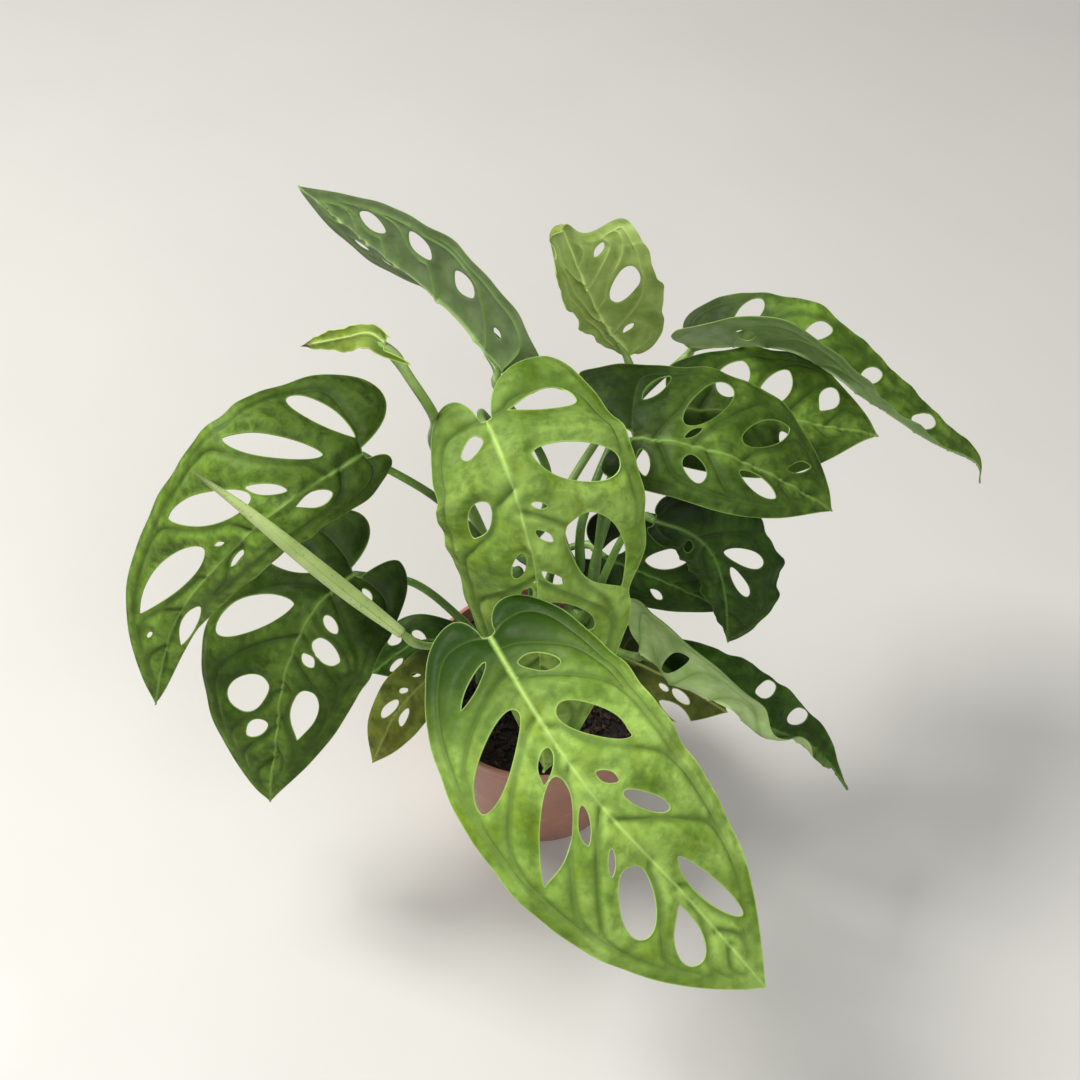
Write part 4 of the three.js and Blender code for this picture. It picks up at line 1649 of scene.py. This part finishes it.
@dataclass
class BarkMix:
    """Loose bark, fibre and crumbs that fill the pot to just under its rim."""

    pot: Pot
    top: float = 82.0
    mound: float = 3.0
    chips: int = 950
    fibres: int = 90
    rings: int = 24
    fibre: Point = (11.0, 0.6, 0.5)
    GAP = 0.2
    LIFT = 0.3
    ROOM = 2.2
    OVERHANG = 1.9
    SIZES = (0.55, 1.35)
    LIFTS = (-1.0, 0.9)
    TONES = (1.6, 2.2)
    CHIPS = (
        (4.6, 3.0, 1.5),
        (3.4, 2.6, 1.8),
        (5.6, 2.4, 1.2),
        (2.6, 2.2, 1.6),
        (3.8, 3.4, 1.1),
        (2.0, 1.6, 1.2),
    )

    def height(self, x: np.ndarray, y: np.ndarray) -> np.ndarray:
        """Height of the mix at a place."""
        spread = np.clip(np.hypot(x, y) / self.pot.wall_radius(self.top), 0, 1)
        return self.top + self.mound * (1 - spread**2)

    def ground(self, skin: bpy.types.Material) -> bpy.types.Object:
        """Models the body of the mix, a low uneven mound.

        Args:
            skin: its material.

        Returns:
            The mound.
        """
        radius, low = (
            self.pot.wall_radius(level) - self.pot.wall - self.GAP for level in (self.top, self.pot.floor)
        )
        foot = self.pot.floor + self.LIFT
        circle = bpy.ops.mesh.primitive_circle_add
        options = {"vertices": 96, "radius": low * MM, "fill_type": "NGON", "location": (0, 0, foot * MM)}
        ground = add(circle, "bark_ground", **options)
        with editing():
            raise_ring(self.top - foot, radius / low, self.top)
            for _ in range(self.rings):
                bpy.ops.mesh.inset(thickness=radius / (self.rings + 1) * MM, depth=0)
        face_outward(ground)
        rng = np.random.default_rng(SEED)
        spots = points_of(ground)
        upper = spots[:, 2] > self.top - 0.5
        x, y = spots[upper, 0], spots[upper, 1]
        lumps = 0.9 * np.sin(x * 0.7) * np.cos(y * 0.7) + rng.uniform(-0.6, 0.6, upper.sum())
        edge = np.hypot(x, y) < radius - 1
        spots[upper, 2] = self.height(x, y) + lumps * edge - 1.2
        ground.data.vertices.foreach_set("co", (spots * MM).ravel())
        write_mark(ground, "tone", rng.uniform(0.0, 0.35, len(spots)))
        ground.data.materials.append(skin)
        apply_all(ground)
        smooth(ground, 60)
        seat(ground, "soil", "soil")
        return ground

    def shape_chip(self, size: Point, seed: int) -> tuple[np.ndarray, list[tuple[int, ...]]]:
        """Shapes one rough chip by hand from a block with worn corners.

        Args:
            size: its length, breadth and thickness, in millimetres.
            seed: which roughness it gets.

        Returns:
            Its points in millimetres and its faces.
        """
        # worked at one metre for each of its millimetres
        chip = add(bpy.ops.mesh.primitive_cube_add, "chip", size=1)
        with editing():
            bpy.ops.transform.resize(value=size, center_override=(0, 0, 0))
            bpy.ops.mesh.bevel(offset=min(size) * 0.28, segments=1)
            bpy.ops.transform.vertex_random(offset=min(size) * 0.3, seed=seed)
        points = np.array([list(corner.co) for corner in chip.data.vertices])
        faces = [tuple(face.vertices) for face in chip.data.polygons]
        bpy.data.objects.remove(chip)
        return points, faces

    def strew(self, skin: bpy.types.Material) -> bpy.types.Object:
        """Strews copies of the shaped chips and fibres over the mound.

        Args:
            skin: their material.

        Returns:
            All of them as one piece.
        """
        rng = np.random.default_rng(SEED + 1)
        shapes = [self.shape_chip(size, i) for i, size in enumerate(self.CHIPS)]
        fibre = self.shape_chip(self.fibre, 9)
        reach = self.pot.wall_radius(self.top) - self.pot.wall - self.ROOM
        points, faces, tones = [], [], []
        count = 0
        for i in range(self.chips + self.fibres):
            loose = i < self.chips
            shape, shape_faces = shapes[i % len(shapes)] if loose else fibre
            room, tilt = (0.2, 0.9) if loose else (3.5, 0.25)
            away, round_about = (reach - room) * math.sqrt(rng.uniform()), rng.uniform(0, 2 * math.pi)
            x, y = away * math.cos(round_about), away * math.sin(round_about)
            turned = self.turned(shape * rng.uniform(*self.SIZES), rng, tilt)
            lift = rng.uniform(*self.LIFTS)
            points.append(turned + np.array([x, y, float(self.height(x, y)) + lift]))
            faces += [tuple(count + v for v in face) for face in shape_faces]
            count += len(turned)
            tones.append(np.full(len(turned), rng.beta(*self.TONES)))
        points = np.vstack(points)
        away = np.hypot(points[:, 0], points[:, 1])
        points[:, :2] *= np.minimum(1, (reach + self.OVERHANG) / np.maximum(away, 1e-6))[:, None]
        chips = mesh_piece("bark_chips", points, faces)
        write_mark(chips, "tone", np.concatenate(tones))
        chips.data.materials.append(skin)
        face_outward(chips)
        seat(chips, "soil")
        return chips

    def turned(self, shape: np.ndarray, rng: np.random.Generator, tilt: float) -> np.ndarray:
        """Turns a chip at random, so that it lies nearly flat.

        Args:
            shape: its points.
            rng: where the turns come from.
            tilt: how far it may lie from flat, in radians.

        Returns:
            The turned points.
        """
        spin, lean, roll = rng.uniform(0, 2 * math.pi), rng.uniform(-tilt, tilt), rng.uniform(-tilt, tilt)
        return shape @ (turn_about(2, spin) @ turn_about(1, lean) @ turn_about(0, roll)).T


# ------------------------------------------------------------------ the plant


def halves(left: list[float], right: list[float]) -> tuple[Half, Half]:
    """The two halves of a blade."""
    return Half(*left), Half(*right)


VINES = {
    "left": Vine("left", [(-21, -8, 83), (-21, -6, 105), (-16, 2, 135), (-10, 8, 168)]),
    "back": Vine("back", [(1, 13, 83), (0, 14, 110), (-3, 15, 150), (-4, 16, 190)]),
    "right": Vine("right", [(17, -2, 83), (17, 1, 110), (15, 7, 145), (13, 13, 172)]),
}

# Every blade repeats the flat shape, bend and place of its solid, in millimetres and degrees.
LEAVES = [
    Leaf(
        "front", Green.BRIGHT,
        rib=[(-22, -73, 222), (1, -122, 226), (25, -151, 210), (59, -172, 177), (93, -192, 138)],
        face=((0, -0.45, 0.9), (0.1, -0.5, 0.85)),
        halves=halves([12, 14, 74, 45, 0.55, 0.38], [14, 12, 88, 50, 0.55, 0.55]),
        fold=((8, 8), (0, 0)), droop=(35, 25),
        holes=[
            (27, 12, 19, 9, 49, 0.15, 0.4, 0.2), (65, 18, 34, 13, 34, -0.12, 0, 0.35),
            (87, 9, 10, 5, 31, 0, 0.2, 0.2), (106, 15, 22, 7, 25, 0, 0.1, 0.3),
            (151, 10, 38, 9, 6, 0.15, 0, 0.1, 0.25), (21, -16, 24, 5, 50, 0.1, 0.2, 0.8),
            (56, -23, 44, 14, 51, 0.1, -0.1, 0.25), (69, -8, 15, 6, 42, -0.1, 0.1, 0.7),
            (89, -22, 43, 12.5, 46, -0.1, 0.1, 0.8, 0.4), (96, -10, 16, 5, 34, 0, 0.3, 0.5),
            (114, -12, 12, 3, 42, 0, 0.3, 0.6), (134, -16, 32, 15, 32, 0, -0.25, -0.05),
            (160, -10, 27, 12, 24, 0.3, 0.5, -0.1),
        ],
        stalk=Stalk("left", 0.3, [(-28, -30, 145), (-31, -49, 185)]),
        puff=1.3, painted_base_shade=1.0,
    ),
    Leaf(
        "centre", Green.BRIGHT,
        rib=[(-23, -8, 284), (-12, -39, 279), (-2, -56, 241), (0, -57, 179), (2, -70, 109)],
        face=((0.15, -0.65, 0.75), (0.1, -0.8, 0.55)),
        halves=halves([26, 34, 35, 56, 0.35, 0.62], [18, 16, 62, 43, 0.5, 0.3]),
        fold=((0, 0), (-27, -27)), droop=(25, 30),
        holes=[
            (0, 26, 30, 11, 90, 0.3, 0.9, -0.1, -0.35), (35, 30, 41, 19, 63, 0.1, 0.55, 0.05),
            (48, 8, 7, 3, 62), (62, 7, 9, 4, 43, 0, -0.1, 0.2),
            (81, 30, 45, 22, 19, -0.28, -0.3, 0.7), (84, 7, 12, 5, 44),
            (112, 15, 32, 12, 38, 0, 0.1, 0.5), (157, 12, 13, 8, 20),
            (10, -11, 12, 9, 60, 0, -0.35, -0.35), (50, -20, 24, 11, 24, -0.15, -0.25, 0.25),
            (76, -7, 16, 6, 20, 0.1, 0.1, 0.3), (93, -5, 9, 5, 15), (122, -11, 16, 6, 25),
        ],
        stalk=Stalk("back", 0.75, [(-9, 20, 222), (-25, 16, 262)]),
        puff=1.3, painted_base_shade=0.45, dent=(104, 6, 11),
    ),
    Leaf(
        "left", Green.MID,
        rib=[(-73, -10, 265), (-100, -39, 268), (-123, -46, 250), (-160, -45, 195), (-178, -53, 140)],
        face=((0.1, -0.6, 0.8), (-0.2, -0.75, 0.6)),
        halves=halves([10, 9, 20, 20, 0.05, 0.72], [25, 20, 30, 50, 0.45, 0.5]),
        fold=((-15, -15), (0, 0)), droop=(40, 30),
        holes=[
            (33, 5.5, 18, 7, -13, -0.2, 0.2, 0.6), (83, 4, 13, 3, 4, 0, 0.4, 0.5),
            (138, 6, 30, 7, 1, 0.1, 0.2, 0.7), (6, -24, 34, 11, 70, 0.15, 0.6, -0.1, -0.2),
            (35, -24, 46, 11, 42, 0.1, 0.25, 0.3), (48, -10, 18, 5, 37, 0, 0.3, 0.3),
            (79, -21, 50, 14, 24, -0.1, 0, 0.6), (121, -13, 56, 14, 8, -0.15, 0.2, 0.8),
            (155, -9, 5, 2, 22), (84, -6, 6, 2, 20, 0, 0.3, 0.5),
        ],
        stalk=Stalk("left", 0.76, [(-26, 6, 185), (-47, 0, 226)]),
        puff=1.2, painted_light=1.0, painted_base_shade=0.65,
    ),
    Leaf(
        "left_low", Green.MID,
        rib=[(-83, -13, 190), (-101, -36, 190), (-115, -53, 165), (-122, -67, 130), (-128, -77, 95)],
        face=((-0.1, -0.7, 0.7), (-0.2, -0.7, 0.6)),
        halves=halves([20, 10, 40, 37, 0.5, 0.28], [23, 18, 58, 45, 0.5, 0.5]),
        droop=(25, 25),
        holes=[
            (4, 11, 7, 4, 86), (30, 10, 10, 6, 65, 0, 0, 0.2), (44, 14, 15, 11, 60, 0, -0.3, -0.3),
            (52, 8, 8, 6, 60), (82, 12, 28, 12, -8, -0.3, -0.2, 0.7, 0.1),
            (18, -23, 24, 10, 70, 0, 0.3, 0.3), (46, -24, 42, 15, 48, 0.1, 0.6, 0.35, -0.2),
            (79, -16, 25, 16, 42, 0.1, -0.2, 0.1), (96, -10, 14, 8, 38, 0, -0.1, 0.2),
        ],
        stalk=Stalk("left", 0.43, [(-37, -4, 142), (-60, -3, 170)]),
        puff=1.3, painted_shade=0.3, painted_base_shade=0.55,
    ),
    Leaf(
        "back_left", Green.MID,
        rib=[(-16, 42, 262), (-44, 71, 277), (-78, 99, 289), (-110, 123, 302)],
        face=((0.5, 0.85, -0.1), (0.5, 0.85, -0.1)),
        halves=halves([14, 20, 36, 37, 0.5, 0.35], [8, 12, 60, 24, 0.5, 0.5]),
        fold=((0, 0), (75, 5)), droop=(10, 0),
        holes=[
            (12, 14, 6, 4, 20), (36, 20, 13, 12, 20), (62, 20, 15, 11, 20), (89, 12, 16, 9, -5),
            (50, -12, 12, 7, 20), (78, -9, 10, 7, 5), (93, -9, 9, 5, 5),
        ],
        stalk=Stalk("back", 0.92, [(3, 27, 215)]),
        puff=0.5, gloom=0.5,
    ),
    Leaf(
        "top_curled", Green.PALE,
        rib=[(40, 61, 255), (29, 60, 275), (21, 59, 295), (14, 62, 313), (9, 66, 325), (9, 58, 329)],
        face=((0, 0.9, 0.1), (0, 0.9, 0.1)),
        halves=halves([2, 5, 48, 32, 1.5, 0.25, 1.07], [3, 4, 62, 14, 0.5, 0.9]),
        fold=((0, 0), (62, -20)), droop=(10, 110),
        holes=[
            (16, 8, 8, 3, 63), (42, 16, 24, 11, 42), (62.5, 11.5, 9, 3.5, 45, 0, 0.2, 0.3),
        ],
        stalk=Stalk("right", 0.95, [(10, 24, 195), (36, 54, 228)]),
        wave=1.4, puff=0.8, scorch=0.4, frill=((0.6, 23), (1.2, 17)),
    ),
    Leaf(
        "far_right", Green.MID,
        rib=[(71, 95, 229), (116, 77, 243), (155, 66, 221), (188, 64, 196), (216, 73, 171), (221, 72, 157)],
        face=((0, -0.3, 0.95), (0.5, -0.1, 0.8)),
        halves=halves([4, 10, 30, 27, 0.25, 0.6], [4, 10, 48, 33, 0.05, 0.04, 0.9]),
        fold=((25, 25), (75, 75)), droop=(25, 0),
        holes=[
            (28, 15, 20, 11, 60), (60, 14, 14, 8, 50), (93, 11, 13, 8, 40), (132, 7, 18, 8, 20),
            (33, -12, 13, 9, 80),
        ],
        stalk=Stalk("right", 0.84, [(20, 26, 180), (45, 74, 210)]),
        puff=0.35, frill=((0.6, 28), (1.8, 42)),
    ),
    Leaf(
        "right_back", Green.MID,
        rib=[(60, 48, 234), (91, 43, 236), (124, 41, 231), (158, 46, 218)],
        face=((0, -0.35, 0.93), (0, -0.35, 0.93)),
        halves=halves([4, 18, 60, 40, 0.4, 0.35], [14, 16, 35, 30, 0.45, 0.15]),
        droop=(25, 25),
        holes=[
            (27, 18, 22, 15, 70, 0, -0.1, 0.3), (48, 16, 25, 13, 58, 0, 0.1, 0.2),
            (75, 14, 17, 10, 50, 0.15, 0.5, 0), (30, -14, 16, 8, 60), (55, -12, 14, 7, 50),
        ],
        stalk=Stalk("right", 0.73, [(27, 14, 172), (42, 36, 210)]),
        puff=1.25, painted_shade=0.24, painted_base_shade=0.55,
    ),
    Leaf(
        "right", Green.MID,
        rib=[(39, 9, 255), (65, 2, 257), (96, -3, 247), (131, -3, 220)],
        face=((0, -0.35, 0.93), (0, -0.35, 0.93)),
        halves=halves([30, 30, 40, 43, 0.55, 0.55], [10, 16, 40, 25, 0.5, 0.3]),
        droop=(25, 25),
        holes=[
            (6, 27, 18, 7, 60, 0, 0.5, 0.2), (31, 23, 33, 14, 60, 0, 0.3, 0.2),
            (27, 6, 9, 3, 42, 0, 0.3, 0.4), (60, 18, 28, 12, 38, -0.1, 0, 0.4),
            (80, 10, 15, 5, 33, 0, 0.2, 0.4), (8, -11, 13, 6, 70, 0, 0.2, 0.3),
            (31, -10, 14, 9, 45, 0, -0.1, 0), (61, -7, 21, 8, 12, 0, 0.3, 0.3),
        ],
        stalk=Stalk("right", 0.62, [(25, -2, 165), (30, 8, 222)]),
        puff=1.25, painted_shade=0.27, painted_base_shade=0.55,
    ),
    Leaf(
        "right_hanging", Green.DARK,
        rib=[(52, 2, 207), (68, 1, 200), (81, 3, 180), (89, 6, 147), (94, 10, 105)],
        face=((0, -0.75, 0.65), (-0.1, -0.98, 0.1)),
        halves=halves([2, 6, 60, 29, 0.55, 0.5], [2, 4, 45, 14, 0.3, 0.2]),
        droop=(25, 35),
        holes=[(50, 13, 24, 9, 38), (66, 8, 26, 6, 12), (24, -6, 9, 5, 30)],
        stalk=Stalk("right", 0.5, [(30, 4, 165), (41, 10, 193)]),
        wave=1.2, frill=((1.2, 26), (0.8, 22)),
    ),
    Leaf(
        "behind_centre", Green.DARK,
        rib=[(28, 25, 156), (59, 25, 137), (80, 26, 122), (95, 28, 108)],
        face=((-0.1, -0.9, 0.4), (-0.1, -0.9, 0.4)),
        halves=halves([14, 16, 35, 32, 0.5, 0.35], [14, 16, 30, 18, 0.5, 0.35]),
        droop=(15, 15),
        holes=[(6, 8, 18, 9, 60), (33, 12, 22, 12, 30), (40, -8, 10, 4, 20)],
        stalk=Stalk("back", 0.35, [(5, 29, 136), (11, 33, 150)]),
    ),
    Leaf(
        "olive_right", Green.OLIVE,
        rib=[(39, -8, 120), (66, -18, 112), (93, -23, 93)],
        face=((0, -0.5, 0.85), (0, -0.5, 0.85)),
        halves=halves([8, 10, 25, 20, 0.5, 0.35], [8, 10, 25, 20, 0.5, 0.35]),
        droop=(15, 15),
        holes=[(22, 9, 10, 5, 50), (26, -5, 6, 3, 10), (36, -5, 12, 5, 10), (37, -13, 20, 7, 6)],
        stalk=Stalk("right", 0.12, [(27, -4, 108)]),
        painted_shade=0.6,
    ),
    Leaf(
        "lower_right", Green.DARK,
        rib=[(46, -36, 160), (72, -58, 160), (103, -63, 140), (130, -57, 112), (149, -62, 85)],
        face=((0, -0.3, 0.95), (0.3, -0.3, 0.9)),
        halves=halves([1, 4, 62, 24, 0.35, 0.12], [10, 26, 15, 35, 0.25, 0.05, 0.75]),
        fold=((15, 15), (120, 60)), droop=(25, 30),
        holes=[(68, 16, 16, 8, 35), (93, 10, 17, 8, 25), (21, -14, 15, 6, 55, 0, 0.4, 0.4)],
        stalk=Stalk("right", 0.3, [(28, -17, 137)]),
        puff=0.6, frill=((0.5, 30), (1.6, 52)), bulge=(8, 46),
    ),
    Leaf(
        "olive_left", Green.OLIVE,
        rib=[(-45, -23, 135), (-54, -34, 135), (-69, -42, 118), (-81, -53, 93)],
        face=((-0.1, -0.6, 0.8), (-0.1, -0.6, 0.8)),
        halves=halves([4, 8, 26, 14, 0.6, 0.5], [5, 8, 22, 14, 0.6, 0.5]),
        droop=(15, 15),
        holes=[
            (16, 5, 5, 3, 12), (37, 4, 11, 4, 7), (16, -5, 5, 2, 45), (26, -4, 5, 3, 27),
            (38, -4, 13, 5, 11),
        ],
        stalk=Stalk("left", 0.2, [(-31, -11, 118)]),
    ),
    Leaf(
        "dark_left", Green.DARK,
        rib=[(-44, 2, 118), (-61, 0, 120), (-83, -8, 105)],
        face=((-0.1, -0.5, 0.85), (-0.1, -0.5, 0.85)),
        halves=halves([4, 8, 22, 14, 0.5, 0.35], [4, 8, 22, 14, 0.5, 0.35]),
        droop=(15, 15),
        holes=[(32, 4, 10, 4, 5), (15, -3, 8, 4, 42), (27, -7, 8, 6, 37)],
        stalk=Stalk("left", 0.1, [(-31, -3, 108)]),
    ),
    Leaf(
        "unfurling", Green.PALE,
        rib=[(-63, 7, 311), (-70, 12, 312), (-81, 17, 305), (-92, 23, 297), (-102, 28, 290)],
        face=((0.5, -0.5, 0.7), (0, -0.5, 0.85)),
        halves=halves([14, 4.5, 20, 6, 0.5, 0.25], [2, 3, 26, 4, 0.5, 0.3]),
        fold=((-35, -35), (40, 30)), droop=(0, 0),
        holes=[],
        stalk=Stalk("left", 0.93, [(-32, 20, 195), (-47, 20, 238), (-45, 7, 268), (-54, 2, 297)], 1.3),
        puff=0.5, painted_shade=0.25, frill=((0.5, 19), (0.3, 13)), scorch=1.0, gloom=0.25,
    ),
]

SPIKE = RolledLeaf(
    axis=[(-60, -56, 200), (-87, -57, 238), (-118, -52, 275), (-137, -48, 293)],
    stalk=Stalk("left", 0.55, [(-33, -25, 140), (-42, -45, 175)]),
)


class Plant:
    """All that grows: vines, petioles, open leaves and the rolled one."""

    def build(self) -> None:
        """Builds every piece of the plant on its own vine."""
        green = StemFinish("petiole_skin", (66, 100, 34), (112, 148, 62), (164, 184, 112)).material()
        vine_green = StemFinish("vine_skin", (56, 88, 30), (90, 124, 48), (136, 146, 84)).material()
        pale = StemFinish("young_petiole_skin", (118, 150, 70), (156, 184, 102), (182, 204, 130)).material()
        for name, vine in VINES.items():
            shares = [leaf.stalk.share for leaf in LEAVES if leaf.stalk.vine == name]
            if SPIKE.stalk.vine == name:
                shares.append(SPIKE.stalk.share)
            vine.build(shares, vine_green)
        for leaf in LEAVES:
            leaf.build()
            skin = pale if leaf.green is Green.PALE else green
            approach, into = self.blade_joint(leaf)
            Petiole(leaf.name, VINES[leaf.stalk.vine], leaf.stalk, approach, into).build(skin)
        axis = np.array(SPIKE.axis, float)
        way = unit(axis[1] - axis[0])
        approach = np.array([axis[0] - way * 10, axis[0] - way * 0.35])
        into = np.array([axis[0] + way * 4])
        Petiole("rolled", VINES[SPIKE.stalk.vine], SPIKE.stalk, approach, into).build(pale)
        SPIKE.build(Green.PALE)

    def blade_joint(self, leaf: Leaf) -> tuple[np.ndarray, np.ndarray]:
        """Leads a petiole up the notch of its blade, then on under the midrib.

        Args:
            leaf: the leaf.

        Returns:
            The last points before the blade, and those inside its midrib.
        """
        origin, tangent, normal, _ = (part[0] for part in leaf.frame_at(np.array([0.0])))
        sink = leaf.size * leaf.VALLEY
        steps = ((-2.5, 7), (0.2, 3.4), (2.4, 1.9))
        behind = [origin + tangent * along - normal * (sink + under) for along, under in steps]
        ahead, _, lift, _ = (part[0] for part in leaf.frame_at(np.array([10.0])))
        return np.array(behind), np.array([ahead - lift * (sink + 1.0)])


class Studio:
    """A pale floor, soft lights and the camera."""

    FLOOR = 12
    AIM = (0, 0, 0.18)
    SKY = (0.97, 0.97, 0.96, 1)
    SKY_STRENGTH = 0.29
    PITCH = 49.1
    LENS = 56.7
    EYE = (0.0, -0.508, 0.783)

    def build(self) -> None:
        """Lays the floor, hangs the lights and sets the camera."""
        self.floor()
        self.lights()
        self.camera()

    def floor(self) -> None:
        """A wide plain floor."""
        floor = add(bpy.ops.mesh.primitive_plane_add, "floor", size=self.FLOOR)
        floor.data.materials.append(FloorFinish().material())

    def lights(self) -> None:
        """One broad key light from the left and behind, a softer one from the front, and a pale sky."""
        self.area("key_light", (-0.85, 0.25, 1.5), 0.55, 30, (1.0, 0.985, 0.95))
        self.area("front_light", (0.45, -1.1, 1.25), 0.8, 12, (0.98, 0.99, 1.0))
        world = bpy.data.worlds.new("studio_sky")
        world.use_nodes = True
        sky = world.node_tree.nodes["Background"]
        sky.inputs["Color"].default_value = self.SKY
        sky.inputs["Strength"].default_value = self.SKY_STRENGTH
        bpy.context.scene.world = world

    def area(self, name: str, place: Point, size: float, power: float, tint: Point) -> None:
        """Hangs a soft square lamp that looks at the middle of the plant.

        Args:
            name: its name.
            place: where it hangs, in metres.
            size: its side, in metres.
            power: its power, in watts.
            tint: its colour.
        """
        lamp = add(bpy.ops.object.light_add, name, type="AREA", location=place)
        lamp.data.size = size
        lamp.data.energy = power
        lamp.data.color = tint
        aim = Vector(self.AIM) - Vector(place)
        lamp.rotation_euler = aim.to_track_quat("-Z", "Y").to_euler()

    def camera(self) -> None:
        """The camera, looking down at the plant from the front."""
        camera = add(bpy.ops.object.camera_add, "main_camera", location=self.EYE)
        camera.rotation_euler = (math.radians(90 - self.PITCH), 0, 0)
        camera.data.lens = self.LENS
        camera.data.sensor_width = 36
        camera.data.clip_start = 0.01
        bpy.context.scene.camera = camera
        bpy.context.scene.view_settings.view_transform = "Standard"


def main() -> None:
    """Builds the whole scene in order."""
    logging.basicConfig(level=logging.INFO, format="%(message)s")
    Studio().build()
    pot = Pot()
    pot.build()
    mix = BarkMix(pot)
    skin = BarkFinish().material()
    mix.ground(skin)
    mix.strew(skin)
    Plant().build()


if __name__ == "__main__":
    main()
